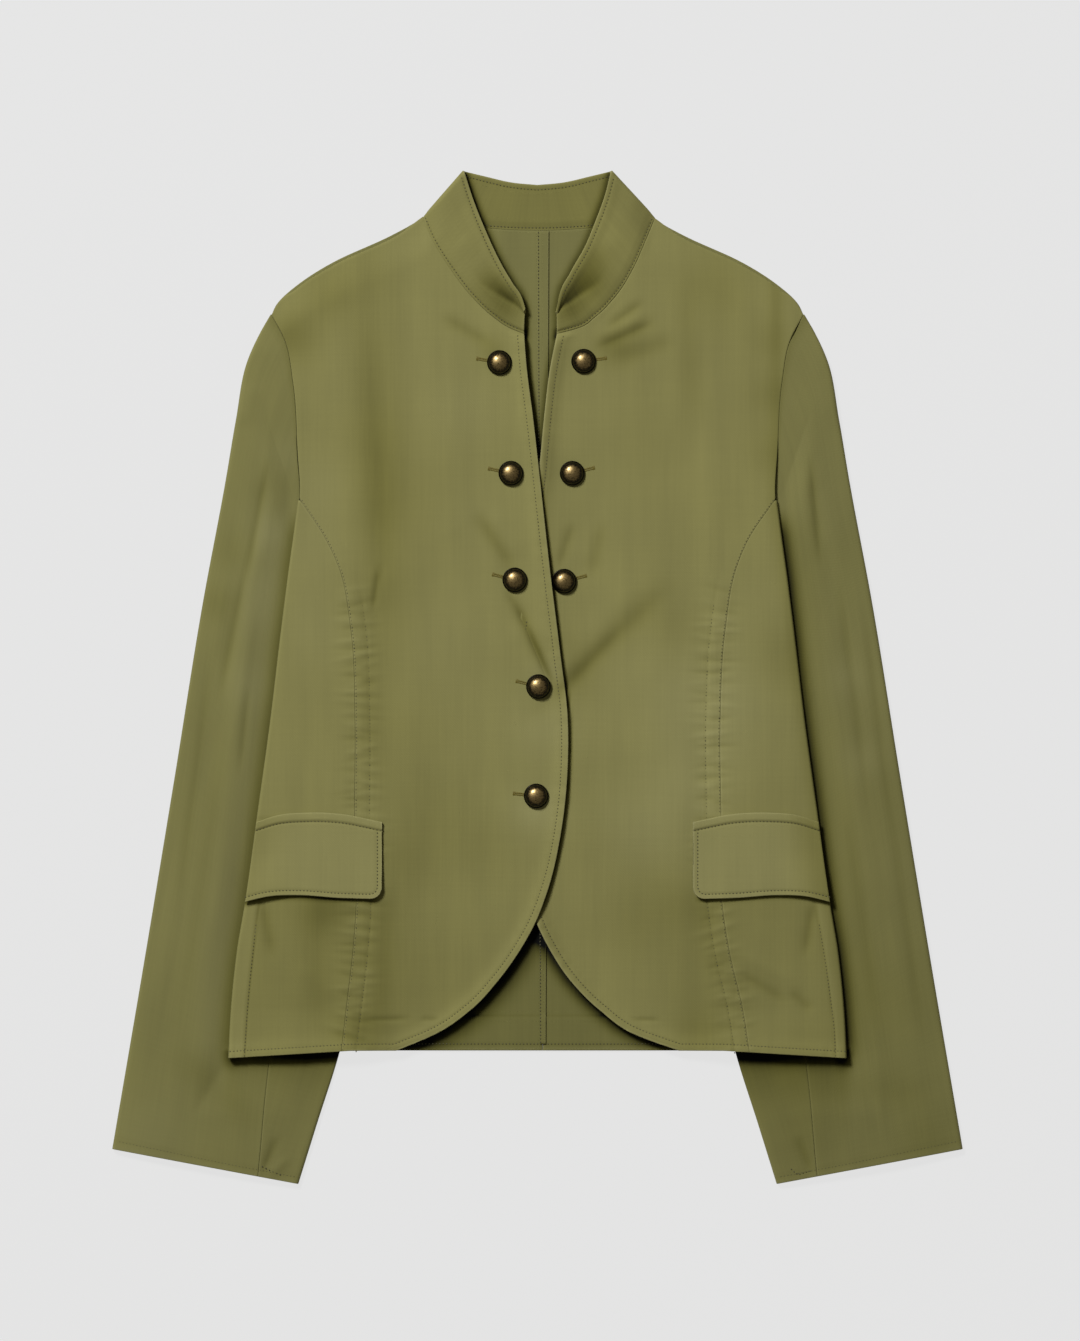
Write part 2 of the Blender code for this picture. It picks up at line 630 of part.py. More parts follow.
def collar_half(side, rows):
    """Half of the collar from its front end round the folded peak to the centre back."""
    name = side_name(side)
    angle = np.linspace(math.pi / 2, 0, 4)
    fold_y = NECK_Y - COLLAR_FOLD * (1 - np.cos(angle))
    y = np.concatenate((NECK_ROWS[::-1], fold_y))
    neck = np.stack((side * by_y(NECK, name, y), y), axis=1)
    top = np.stack((side * by_y(COLLAR_LEAF, name + "_x", y), by_y(COLLAR_LEAF, name + "_y", y)), axis=1)
    leaf = band_points(neck, top, rows)
    leaf_turn = np.concatenate((np.ones(len(NECK_ROWS)), np.sin(angle)))

    neck_x = column(COLLAR_BACK, "neck_x")
    back_angle = angle[-2::-1]
    fold_x = BACK_NECK_HALF - COLLAR_BACK_FOLD * (1 - np.cos(back_angle))
    x = np.concatenate((fold_x, np.linspace(BACK_NECK_HALF - 3 * COLLAR_BACK_FOLD, 0, 6)))
    top_x = smooth(neck_x, column(COLLAR_BACK, "top_x"), x)
    top_y = smooth(neck_x, column(COLLAR_BACK, "top_y"), x)
    neck = np.stack((side * x, BACK_NECK_Y + back_neck_rise(x)), axis=1)
    back = band_points(neck, np.stack((side * top_x, top_y), axis=1), rows)
    back_turn = np.concatenate((np.sin(back_angle), np.ones(6)))

    level_y = np.minimum(leaf[..., 1], COLLAR_LEVEL_Y)
    high = front_height(side, leaf[..., 0], level_y) + (DOUBLED_WALL - CLOTH_WALL) / 2
    high = high + COLLAR_BULGE * np.sin(math.pi * rows) + COLLAR_TOP_RISE * rows
    low = DOUBLED_WALL / 2
    middle = (high + low) / 2
    leaf_z = middle + (high - middle) * leaf_turn[:, None]
    back_z = middle[-1] + (low - middle[-1]) * back_turn[:, None]
    flat = np.concatenate((leaf, back))
    return np.concatenate((flat, np.concatenate((leaf_z, back_z))[..., None]), axis=-1)


def collar():
    """The stand collar: a doubled band, its two leaves folded over the back of the neck."""
    rows = np.linspace(0, 1, 5)
    band = np.concatenate((collar_half(-1, rows), collar_half(1, rows)[-2::-1]))
    solid_from_sheet("collar", band, DOUBLED_WALL, TWILL_FRONT)


def flap(side):
    """A pocket flap of doubled cloth, lying on the front with a raised ridge along its top."""
    inner, outer = FLAP[0].x, FLAP[-1].x
    steps = np.concatenate((inner + FLAP_CORNER * (1 - np.cos(np.linspace(0, math.pi / 2, 4))),
                            np.linspace(inner + FLAP_CORNER, outer, 7)[1:]))
    top = smooth(column(FLAP, "x"), column(FLAP, "top"), steps)
    bottom = smooth(column(FLAP, "x"), column(FLAP, "bottom"), steps)
    bottom = bottom + FLAP_CORNER * (1 - round_off((steps - inner) / FLAP_CORNER))
    ridge_rows = [0.0, FLAP_RIDGE_WIDTH, FLAP_RIDGE_WIDTH + FLAP_RIDGE_FOOT]
    inset = np.concatenate((ridge_rows, np.linspace(FLAP_DEPTH / 3, FLAP_DEPTH, 4)))
    rows = inset / inset[-1]
    y = top + (bottom - top) * rows[:, None]
    share = (steps - inner) / (outer - inner)
    x = side * (inner + (by_y(BODY, "fold", y) + FLAP_OVERHANG - inner) * share)
    ridge = np.where(inset <= FLAP_RIDGE_WIDTH, FLAP_RIDGE, 0.0)[:, None]
    lift = CLOTH_WALL / 2 + SEAM_GAP + (DOUBLED_WALL + ridge) / 2
    sheet = np.stack((x, y, front_height(side, x, y) + lift), axis=-1)
    solid_from_sheet(f"flap_{side_name(side)}", sheet, DOUBLED_WALL + ridge, TWILL_FLAP)


def button(row):
    """A domed metal button with a short straight rim, standing just clear of its front."""
    seat = float(front_height(row.side, np.array(row.x), np.array(row.y))) + CLOTH_WALL / 2 + 2 * SEAM_GAP
    rings = [(BUTTON_RADIUS - BUTTON_BEVEL, 0.0), (BUTTON_RADIUS, BUTTON_BEVEL), (BUTTON_RADIUS, BUTTON_RIM)]
    dome = BUTTON_HEIGHT - BUTTON_RIM
    rings += [(BUTTON_RADIUS * math.cos(a), BUTTON_RIM + dome * math.sin(a)) for a in BUTTON_DOME_ANGLES]
    turns = np.arange(BUTTON_SIDES) * 2 * math.pi / BUTTON_SIDES
    points = [(row.x + r * math.cos(a), row.y + r * math.sin(a), seat + z) for r, z in rings for a in turns]
    points.append((row.x, row.y, seat + BUTTON_HEIGHT))
    count = len(turns)
    faces = [tuple(reversed(range(count)))]
    for ring in range(len(rings) - 1):
        for k in range(count):
            a = ring * count + k
            b = ring * count + (k + 1) % count
            faces.append((a, b, b + count, a + count))
    last = (len(rings) - 1) * count
    faces += [(last + k, last + (k + 1) % count, len(points) - 1) for k in range(count)]
    add_object(row.name, np.array(points), faces, BRASS, 0.35, 1.0)


def main():
    for item in list(bpy.data.objects):
        bpy.data.objects.remove(item)
    back_seam()
    collar()
    for side in (-1, 1):
        front_centre(side)
        front_side(side)
        back_half(side)
        sleeve_half(side, "upper")
        sleeve_half(side, "under")
        flap(side)
    for row in BUTTONS:
        button(row)


main()
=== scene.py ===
"""Military jacket laid flat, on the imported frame: twill shells, sewing, buttonholes and brass buttons.

Right and left are the wearer's, so the right side is at -X. Lengths in the tables are millimetres, +Y runs to
the collar and +Z is up from the floor. Settings that a user would change are metres, as Blender shows them.
"""

import math
from collections import namedtuple
from functools import lru_cache

import bpy
import numpy as np
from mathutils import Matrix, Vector


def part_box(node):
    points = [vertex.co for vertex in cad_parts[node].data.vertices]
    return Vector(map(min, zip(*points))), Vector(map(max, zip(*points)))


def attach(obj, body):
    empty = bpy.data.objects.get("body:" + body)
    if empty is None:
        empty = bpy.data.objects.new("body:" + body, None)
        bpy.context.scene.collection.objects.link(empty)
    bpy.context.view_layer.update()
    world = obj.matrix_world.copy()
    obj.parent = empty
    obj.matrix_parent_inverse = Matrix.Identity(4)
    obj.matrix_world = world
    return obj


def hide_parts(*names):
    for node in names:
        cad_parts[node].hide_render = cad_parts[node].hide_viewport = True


bl_info = {
    "name": "Military Jacket",
    "version": (1, 0, 0),
    "blender": (4, 5, 0),
    "location": "3D View > Sidebar > Jacket",
    "description": "Dresses the packed jacket in twill, sewing and brass buttons",
    "category": "Object",
}

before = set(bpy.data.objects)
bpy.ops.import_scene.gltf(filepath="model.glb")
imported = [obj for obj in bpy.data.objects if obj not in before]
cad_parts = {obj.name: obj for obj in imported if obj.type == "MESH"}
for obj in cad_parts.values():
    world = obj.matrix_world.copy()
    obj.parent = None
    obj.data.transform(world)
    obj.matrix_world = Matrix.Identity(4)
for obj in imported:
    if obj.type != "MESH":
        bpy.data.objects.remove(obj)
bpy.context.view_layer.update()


def table_of(kind, rows):
    """A table's rows as named tuples of one kind."""
    return tuple(kind(*row) for row in rows)


MM = 0.001
BODY_NAME = "root"
UP = np.array([0.0, 0.0, 1.0])

# Walls, and heights of the layers between the middles of two walls, as in the solids.
CLOTH_WALL = 1.2
DOUBLED_WALL = 2.2
STRIP_WALL = 1.0
BACK_HEM_WALL = 0.6
SEAM_GAP = 0.3
SEWN_GAP = 0.06
FREE_RISE = 4.0
PRESSED_SLEEVE_RISE = 1.8
BACK_LIFT = 3.4
FRONT_LIFT = 1.6
SHOULDER_RISE = 1.5
LEFT_LAP_DROP = 1.2
RIGHT_LAP_RISE = 0.5
LAP_INNER = 30.0
LAP_OUTER = 75.0
SHOULDER_ROUND = 30.0
SHOULDER_INSET = 2.5
SHOULDER_INSET_RUN = 15.0
NECK_POINT_RISE = 1.5
BACK_RAMP = 15.0
FRONT_RAMP = 60.0
SLEEVE_RAMP = 26.0
COVER_MARGIN = 2.0
PRESSED_MARGIN = 2.0

# How fast a sleeve comes free past the hem and past the armpit, against its way out past the body's side.
PAST_HEM = 0.6
PAST_ARMPIT = 0.35

# Landmarks of one side, with x measured from the centre line.
NECK_Y = 344.0
NECK_FRONT_Y = 257.5
SHOULDER_TIP = (199.5, 272.0)
YOKE_FOOT_Y = 200.0
LAP_TOP_Y = 159.0
LAP_FOOT_Y = -185.0
PRINCESS_TOP_Y = 133.0
PUCKER_TOP_Y = 56.0
SIDE_TOP = (179.5, 130.0)
SIDE_TOP_TURN = 3.0
SIDE_PANEL_TOP_Y = 132.6
SIDE_SEWN_TOP_Y = -183.0
UNDERARM = (92.0, 94.0)
HEM_Y = -280.0
HEM_START_X = 106.0
HEM_DROP = 5.6
HEM_DROP_INNER = 140.0
HEM_DROP_OUTER = 231.0
HEM_DROP_TOP = -200.0
BACK_NECK_Y = 335.0
BACK_NECK_FOOT_Y = 290.0
BACK_NECK_RISE = 9.0
BACK_NECK_HALF = 86.0
BACK_FINE_Y = -200.0
BACK_HEM_TURN_Y = -253.0
CENTRE_BACK_X = 4.0
SHOULDER_SLOPE = 0.55
SHOULDER_STEP = 4.0
SLEEVE_LENGTH = 640.0
SLEEVE_BACK_SEAM = 20.0

# The strip along the centre back seam; the place of its stitches is a share of its half width.
STRIP_HALF_WIDTH = 4.5
STRIP_TAPER = 0.5
STRIP_END_GAP = 0.2
STRIP_LIFT = CLOTH_WALL + SEAM_GAP + STRIP_WALL / 2
STRIP_STITCH = -0.75
STRIP_GROOVE = 0.6
STRIP_GROOVE_DEPTH = 0.2

# Rows of stitches: how far each is from the edge or seam that it follows, and the groove that it draws.
PRINCESS_ALLOWANCE = 11.0
PRINCESS_STITCH = 0.9
EDGE_STITCH = 5.0
FLAP_STITCH = 3.6
FLAP_RIDGE_STITCH = 0.6
COLLAR_STITCH = 3.8
NECK_STITCH = 2.0
CUFF_STITCH = 6.5
CUFF_SEWN = (0.02, 0.98)
COLLAR_END_POINTS = 4
EDGE_SEWING_STEP = 2.0
FLAP_SEWING_STEP = 1.5
PRINCESS_SUNK = 0.26
CUFF_SUNK = 0.24
GROOVE_WIDTH = 0.9
GROOVE_DEPTH = 0.35

# Fine form of the cloth over the solids: ridges, lifts and presses, and how far each reaches.
SEAM_RIDGE = 0.35
SEAM_RIDGE_WIDTH = 4.0
SIDE_STEP = 0.45
EDGE_PUCKER_SHARE = 0.5
EDGE_PUCKER_REACH = 9.0
EDGE_LIFT = 3.4
EDGE_LIFT_REACH = 8.0
HEM_LIFT = 3.6
HEM_LIFT_RUN = 34.0
HEM_CORNER_LOSS = 0.7
BUTTON_PRESS = 0.5
BUTTON_PRESS_REACH = 12.0
NECK_HELD = 5.0
LAP_HOLD = 0.95
SLEEVE_CROWN = 2.8
SLEEVE_CROWN_RUN = 0.14
FOLD_TAPER = 1.5
RIM_ROUND = 0.35
RIM_ANGLES = np.radians([50, 0, -50])

# Collar: the folds at its peaks, its swell, and the valley and lip of its rolled ends; shares of its height.
COLLAR_FOLD = 2.0
COLLAR_FOLD_CLEAR = 3.0
COLLAR_BACK_FOLD = 3.4
COLLAR_BULGE = 0.9
COLLAR_TOP_RISE = 0.4
COLLAR_LEVEL_Y = 300.0
COLLAR_LEVEL_SHARE = 0.5
COLLAR_VALLEY = 2.4
VALLEY_FOOT = 0.80
VALLEY_FOOT_FALL = 0.95
VALLEY_FOOT_LEAST = 0.40
COLLAR_LIP = 2.2
COLLAR_LIP_LEAST = 0.4
COLLAR_THIN = 0.9
COLLAR_THIN_SHARE = 0.2
COLLAR_WAVE = 0.3

# Above this height a row of the collar is on a leaf and faces up; its sewing shows less on the inside.
LEAF_LEVEL = 2.4
INSIDE_SEWING = 0.3

# Pocket flaps: the rounded corner, the ridge along the top, and how the free edge lifts.
FLAP_CORNER = 9.0
FLAP_OVERHANG = 0.5
FLAP_RIDGE = 0.7
FLAP_RIDGE_WIDTH = 6.0
FLAP_LIFT = 1.2
FLAP_MIDDLE_LIFT = 0.4
FLAP_ENDS_LIFT = 0.9
FLAP_WAVE = 0.4
FLAP_CORNER_LIFT = 1.8
FLAP_CORNER_X = 206.0
FLAP_CORNER_WIDTH = 16.0

# Slow waves of laid cloth: about how long they are, and the seed of their draws.
Waves = namedtuple("Waves", "length seed")
FRONT_WAVES = Waves(90.0, 5)
SLEEVE_WAVES = Waves(110.0, 15)
COLLAR_WAVES = Waves(45.0, 33)
FLAP_WAVES = Waves(60.0, 91)
WAVE_COUNT = 7
WAVE_SPREAD = (0.6, 1.6)

# Short gathers across a sewn line: where along it they start and stop, and the seed of their draws.
Puckers = namedtuple("Puckers", "first last seed")
SEAM_PUCKERS = Puckers(PRINCESS_TOP_Y - PUCKER_TOP_Y, 430.0, 21)
ALLOWANCE_PUCKERS = Puckers(PRINCESS_TOP_Y - PUCKER_TOP_Y, 430.0, 41)
EDGE_PUCKERS = Puckers(0.0, 720.0, 61)
PUCKER_STEP = (5.0, 11.0)
PUCKER_REACH = (5.0, 13.0)
PUCKER_WIDTH = (1.3, 2.4)
PUCKER_HEIGHT = (0.4, 1.0)
PUCKER_UP_DOWN = (0.55, 0.45)
PUCKER_LEAN = 0.18

# Tone of the cloth, mostly painted light and shade: wear with a painted highlight, painted light and a
# lighter side strip make it lighter, painted shade makes it darker, and the painted tone of whole parts is
# added as it is.
# Edges are drawn lighter, partly as wear and partly as a painted highlight on the rolled rim.
EDGE_WEAR_AND_HIGHLIGHT = 2.2
EDGE_WEAR_AND_HIGHLIGHT_REACH = 1.0
BACK_HEM_WEAR_AND_HIGHLIGHT_REACH = 2.0
# Seam edges are drawn lighter, partly as wear and partly as a painted highlight that offsets the dark seam
# line.
SEAM_WEAR_AND_HIGHLIGHT = 0.9
SLEEVE_SEAM_WEAR_AND_HIGHLIGHT = 0.7
SLEEVE_SEAM_WEAR_AND_HIGHLIGHT_REACH = 1.4
# Painted light along the collar's back neck seam, which lightens the shadow line there.
COLLAR_NECK_PAINTED_LIGHT = 1.2
# The flap's top edge is drawn lighter, partly as wear and partly as a painted highlight.
FLAP_TOP_WEAR_AND_HIGHLIGHT = 0.5
FLAP_TOP_WEAR_AND_HIGHLIGHT_REACH = 1.6
# The strip beside the lower side seam is drawn lighter.
SIDE_STRIP_LIGHTER = 1.0
# Painted shade: grooves, stitched lines, creases, the skirt, the sleeve cap, the hem's turn, the collar's
# valley and inside, the flap's ridge and end, and the side's turn are drawn darker.
SIDE_SHADE = 1.8
SIDE_TURN_SHADE = {-1: 0.0, 1: 1.6}
SIDE_TURN_REACH = 6.0
SEWN_SHADE = 0.4
STRIP_SHADE = 0.6
CUFF_SHADE = 0.5
CREASE_SHADE = 1.4
SKIRT_SHADE = 1.0
ARMHOLE_SHADE = 1.2
ARMHOLE_SHADE_REACH = 6.0
HEM_TURN_SHADE = 1.4
HEM_TURN_BELOW = 1.0
HEM_TURN_WIDTH = 1.4
COLLAR_SHADE = 4.5
INSIDE_SHADE = 2.1
FLAP_RIDGE_SHADE = 1.4
FLAP_END_SHADE = {-1: 1.3, 1: 3.4}
FLAP_END_REACH = 0.2
# Painted shade on each of the collar's leaves.
LEAF_PAINTED_SHADE = {-1: -0.6, 1: -1.0}
# Painted light on each pocket flap.
FLAP_PAINTED_LIGHT = {-1: 1.1, 1: 1.5}
# Painted shade on the back where it shows in the hem gap.
GAP_PAINTED_SHADE = -1.3

# A stitch is a spindle of thread: where each ring is along it, its radius, and its lift in thread widths.
ThreadStation = namedtuple("ThreadStation", "along radius lift")
THREAD_STATIONS = table_of(ThreadStation, (
    (-0.50, 0.35, -0.30),
    (-0.28, 1.00, 0.10),
    (0.28, 1.00, 0.10),
    (0.50, 0.35, -0.30),
))
THREAD_SIDES = 6
BUTTONHOLE_START = 2.0
BUTTONHOLE_END = 16.2
BUTTONHOLE_PITCH = 0.55
BUTTONHOLE_SIDE = 0.68
BUTTONHOLE_THREAD = 0.65
BAR_THREADS = 3
BAR_LENGTH = 3.8

# Shadows in the cloth's tone, deepest at an edge and fading over the reach; the light is on the right side.
Shadow = namedtuple("Shadow", "tone reach")
BODY_SHADOW = {-1: Shadow(-4.8, 7.0), 1: Shadow(-9.0, 7.2)}
HEM_SHADOW = {
    -1: (Shadow(-10.0, 7.0), Shadow(-3.0, 32.0)),
    1: (Shadow(-9.5, 8.5), Shadow(-4.0, 40.0)),
}
HEM_SHADOW_LOSS = 0.4
HEM_SHADOW_UNDER = 6.0
EDGE_SHADOW = {-1: Shadow(-9.0, 3.0), 1: Shadow(-6.0, 3.2)}
GAP_SHADOW = {-1: Shadow(-9.0, 11.5), 1: Shadow(-8.5, 6.2)}
LEAF_SHADOW = {-1: Shadow(-7.5, 3.4), 1: Shadow(-6.0, 3.6)}
LAP_SHADOW = Shadow(-9.0, 1.8)
FLAP_SHADOW = {-1: Shadow(-7.0, 2.8), 1: Shadow(-6.0, 2.2)}

# Painted light on the right sleeve and painted shade on the left one, in a band of cloth just clear of the
# body's shadow, this far out from the body's side.
SIDE_LIGHT_AND_SHADE_BAND = {-1: Shadow(1.35, 11.0), 1: Shadow(-0.9, 12.0)}
SIDE_BAND_OUT = 15.0

# Short rows of tacking at the foot of the sleeve seams: share across the cuff and distance above its edge.
CUFF_TACK = {
    -1: ((0.787, 11.0), (0.849, 7.6), (0.908, 5.4)),
    1: ((0.912, 13.2), (0.887, 5.4), (0.807, 6.8)),
}

# Broad patches of painted light and painted shade, where the cloth is drawn lighter or darker than the rest.
Patch = namedtuple("Patch", "x y reach tone")
FRONT_LIGHT_AND_SHADE_PATCHES = table_of(Patch, (
    (112, -10, 62, 1.2),
    (134, -14, 36, 1.2),
    (122, -80, 30, 0.7),
    (100, 37, 24, -1.1),
    (-90, -190, 60, -0.4),
    (150, 60, 40, 0.3),
    (194, 12, 28, -1.3),
    (-168, 100, 30, 0.8),
    (-112, 130, 36, -1.1),
    (74, -124, 34, 1.3),
    (80, -184, 34, -1.0),
    (130, -60, 34, 0.4),
    (-61, -112, 34, -0.2),
    (100, -96, 46, 0.6),
    (-80, -236, 44, -0.7),
    (186, -236, 30, 0.4),
    (165, -196, 42, 0.4),
    (-160, -230, 34, -0.4),
    (-30, 110, 40, 0.2),
    (28, -4, 16, -0.9),
    (24, 24, 12, -0.6),
    (9, 0, 13, 3.2),
    (3, -38, 26, 1.4),
    (-3, -100, 19, 2.2),
    (-122, 176, 28, -0.9),
    (-118, 60, 36, -0.7),
    (-106, -40, 30, -0.7),
    (-104, -136, 26, -1.1),
    (-56, 205, 30, 0.7),
    (-62, 30, 50, 0.5),
    (-166, 40, 30, 0.8),
    (-160, 140, 24, 0.7),
    (-187, 256, 20, -2.6),
    (-158, 287, 22, -1.7),
    (-126, 304, 22, -1.1),
    (134, 294, 28, -1.2),
    (174, 252, 15, -0.8),
    (176, 212, 17, -1.2),
    (176, 168, 19, -1.3),
    (57, 246, 13, -2.2),
    (74, 255, 16, -0.7),
    (-34, 245, 10, -1.5),
    (-160, -174, 19, -2.3),
    (-134, -266, 18, -1.7),
    (124, -266, 18, -1.4),
))
SLEEVE_LIGHT_AND_SHADE_PATCHES = table_of(Patch, (
    (-262, -176, 50, 0.3),
    (-207, 60, 32, 1.4),
    (-200, 112, 22, 1.7),
    (-218, -6, 20, 1.3),
    (-240, 56, 15, -1.5),
    (-229, 94, 18, -1.0),
    (-188, 168, 17, 1.3),
    (222, 150, 40, 0.4),
    (244, 0, 50, 0.8),
    (272, -140, 30, 0.4),
    (258, -240, 34, -0.8),
    (-290, -344, 32, 1.0),
    (200, -302, 22, -1.0),
    (200, -347, 22, -0.9),
    (290, -347, 20, -1.0),
    (243, -62, 16, 1.2),
    (233, 0, 14, 1.1),
))
COLLAR_SHADE_PATCHES = table_of(Patch, (
    (-24, 279, 13, -3.4),
    (-37, 292, 12, -1.8),
    (24, 277, 12, -3.6),
    (38, 295, 14, -3.4),
    (44, 314, 10, -1.5),
))

# Buttons, in metres and degrees: a face looks up or down where its normal passes the limit.
BUTTON_SIDES = 48
BUTTON_RIM = 0.0012
BUTTON_LIP = 0.0005
BUTTON_SHANK = 0.002
BUTTON_STANDOFF = 0.0009
BUTTON_BEVEL_STEPS = 3
BUTTON_SMOOTH_ANGLE = 50
DOME_ANGLE = 84
DOME_RINGS = 13
NORMAL_LIMIT = 0.9
SAME_RADIUS = 1e-5

# Patina and painted highlight stored on a button, by shares of its radius: the dome's top is left bright as
# rubbed brass and a painted highlight, it is dark from the dome's foot out, and rubbed on the rim.
DOME_PATINA_AND_HIGHLIGHT = 0.95
RIM_RUBBED = 0.30
RIM_RUBBED_AT = 0.84
RIM_RUBBED_WIDTH = 0.05

# Aged brass: how dark each pattern makes it, where its three colours lie on that scale, and its roughness.
BLOTCH_DARK = 1.7
PIT_DARK = 1.0
DARK_LEVEL = -1.22
RUBBED_AT = 0.05
BROWN_AT = 0.42
PATINA_AT = 0.85
BRASS_ROUGH = 0.28
BLOTCH_ROUGH = 0.30
PATINA_ROUGH = 0.10

# Weave: how far apart the waves of a diagonal band are at a scale of 1, and noise scales across and along.
DIAGONAL_WAVE = 0.444
WARP_SCALE = (560.0, 16.0, 1.0)
WEFT_SCALE = (18.0, 520.0, 1.0)
MOTTLE_SCALE = (16.0, 11.0, 1.0)
STREAK_SCALE = (42.0, 4.0, 1.0)
WEFT_SHARE = 0.5

# Cloth: what tone does to its saturation, so that painted shade is drawn more saturated as bounced light
# makes it, its roughness, and the weights of its threads' relief.
TONE_SATURATION = -0.035
CLOTH_ROUGH = 0.74
MOTTLE_ROUGH = 0.12
TONE_ROUGH = -0.02
RIB_RELIEF = 0.6
THREAD_RELIEF = 0.5

# Sewing thread: how much its twist shows.
TWIST_CONTRAST = 0.5

# Stage, in metres; the picture in mm on the floor.
FLOOR_SIZE = 12.0
FLOOR_LEVEL = -0.0002
PICTURE_CENTRE = (1.875, 5.06)
PICTURE_HEIGHT = 1005.75
CAMERA_SENSOR = 36.0
KEY_PLACE = (-1.95, 2.6, 3.55)
KEY_SIZE = 1.2
FILL_COLOUR = (1.0, 0.97, 0.80, 1.0)

Shoulder = namedtuple("Shoulder", "y x")
SHOULDER = table_of(Shoulder, (
    (344, 86.0),
    (330, 112.5),
    (312, 152.0),
    (294, 180.5),
    (280, 195.5),
    (272, 199.5),
))

Armhole = namedtuple("Armhole", "y front back")
ARMHOLE = table_of(Armhole, (
    (272, 199.5, 199.5),
    (254, 190.0, 187.0),
    (222, 183.5, 170.5),
    (170, 180.0, 146.5),
    (133, 178.5, 125.0),
    (121, 180.0, 116.5),
    (94, 184.0, 92.0),
))

Neck = namedtuple("Neck", "y right left")
NECK = table_of(Neck, (
    (344, 86.0, 88.0),
    (326, 78.0, 80.5),
    (307, 66.0, 72.0),
    (285, 49.0, 58.0),
    (270, 33.0, 43.0),
    (262, 21.0, 31.0),
    (257.5, 10.0, 14.5),
))

# The front edges, as x on the floor: the right one laps over the left one between the V and the hem.
FrontEdge = namedtuple("FrontEdge", "y right left")
FRONT_EDGE = table_of(FrontEdge, (
    (257.5, -10.0, 14.5),
    (232, -8.0, 9.4),
    (196, -3.4, 5.0),
    (159, 0.8, 1.5),
    (81, 9.4, -8.0),
    (19, 17.0, -16.0),
    (-30, 22.7, -21.5),
    (-70, 22.6, -21.5),
    (-112, 18.4, -16.5),
    (-162, 7.0, -7.5),
    (-185, -2.0, -0.4),
    (-204, -12.6, 9.0),
    (-228, -29.8, 25.0),
    (-250, -50.6, 47.0),
    (-268, -77.2, 73.0),
    (-280, -106.0, 106.0),
))

Body = namedtuple("Body", "y fold right left")
BODY = table_of(Body, (
    (133, 179.0, 178.0, 178.0),
    (104, 182.8, 159.0, 158.5),
    (84, 185.6, 149.5, 149.8),
    (37, 191.6, 140.0, 141.0),
    (-34, 200.1, 136.7, 137.0),
    (-100, 209.2, 137.0, 137.6),
    (-169, 218.8, 135.8, 138.4),
    (-206, 225.0, 138.4, 144.0),
    (-250, 229.7, 143.5, 154.2),
    (-280, 231.3, 147.0, 158.8),
))

# How far behind the side fold the side panel ends, on the underside.
SideSeam = namedtuple("SideSeam", "y behind")
SIDE_SEAM = table_of(SideSeam, (
    (94, 92.0),
    (64, 70.0),
    (9, 42.0),
    (-34, 28.0),
    (-100, 14.0),
    (-169, 8.0),
    (-280, 6.0),
))

# The sewn line of the side seam where it shows on the lower front.
SideLine = namedtuple("SideLine", "y right left")
SIDE_LINE = table_of(SideLine, (
    (-150, 206.5, 206.0),
    (-172, 209.5, 209.0),
    (-202, 213.0, 214.0),
    (-236, 216.5, 219.0),
    (-264, 218.6, 222.4),
    (-285, 219.8, 223.4),
))

SleeveFold = namedtuple("SleeveFold", "x y")
SLEEVE_OUTER = table_of(SleeveFold, (
    (199.5, 272),
    (207.0, 259),
    (217.0, 237),
    (225.6, 193),
    (233.2, 148),
    (250.0, 58),
    (271.9, -77),
    (294.2, -212),
    (318.4, -354),
))
SLEEVE_INNER = table_of(SleeveFold, (
    (92.0, 94),
    (87.0, 58),
    (97.0, -20),
    (111.0, -92),
    (130.0, -190),
    (149.0, -281),
    (166.0, -335),
    (180.0, -380),
))
SleeveSeam = namedtuple("SleeveSeam", "along across")
SLEEVE_SEAM = table_of(SleeveSeam, (
    (0.00, 0.74),
    (0.50, 0.68),
    (0.87, 0.73),
    (1.00, 0.785),
))

# Top edge of the collar's leaves, each row across from a height on the neck seam.
Leaf = namedtuple("Leaf", "y right_x right_y left_x left_y")
COLLAR_LEAF = table_of(Leaf, (
    (257.5, 9.4, 276.5, 14.4, 276.0),
    (261.0, 11.4, 284.0, 16.5, 287.0),
    (270.0, 18.2, 295.0, 24.3, 303.0),
    (285.0, 26.8, 309.5, 34.2, 320.5),
    (307.0, 38.4, 334.0, 43.4, 342.0),
    (326.0, 48.0, 358.0, 50.5, 361.5),
    (344.0, 55.0, 379.5, 55.0, 379.5),
))
BackCollar = namedtuple("BackCollar", "neck_x top_x top_y")
COLLAR_BACK = table_of(BackCollar, (
    (86.0, 55.0, 379.5),
    (60.0, 40.0, 375.9),
    (30.0, 20.0, 371.3),
    (0.0, 0.0, 369.3),
))

Flap = namedtuple("Flap", "x top bottom")
FLAP = table_of(Flap, (
    (116.5, -108.5, -166.5),
    (150.0, -102.5, -165.5),
    (180.0, -101.5, -163.5),
    (203.0, -103.5, -164.5),
    (219.5, -108.5, -168.5),
))

# The buttonhole of each button starts under its dome and runs outward, tilted by the given angle in degrees.
Button = namedtuple("Button", "node side x y tilt")
BUTTONS = table_of(Button, (
    ("button_right_1", -1, -28.6, 236, 10),
    ("button_right_2", -1, -20.0, 153, 12),
    ("button_right_3", -1, -17.0, 73, 14),
    ("button_right_4", -1, 0.7, -7, 14),
    ("button_right_5", -1, -1.0, -89, 6),
    ("button_left_1", 1, 34.6, 237, 8),
    ("button_left_2", 1, 26.0, 153, 14),
    ("button_left_3", 1, 20.0, 72, 14),
))

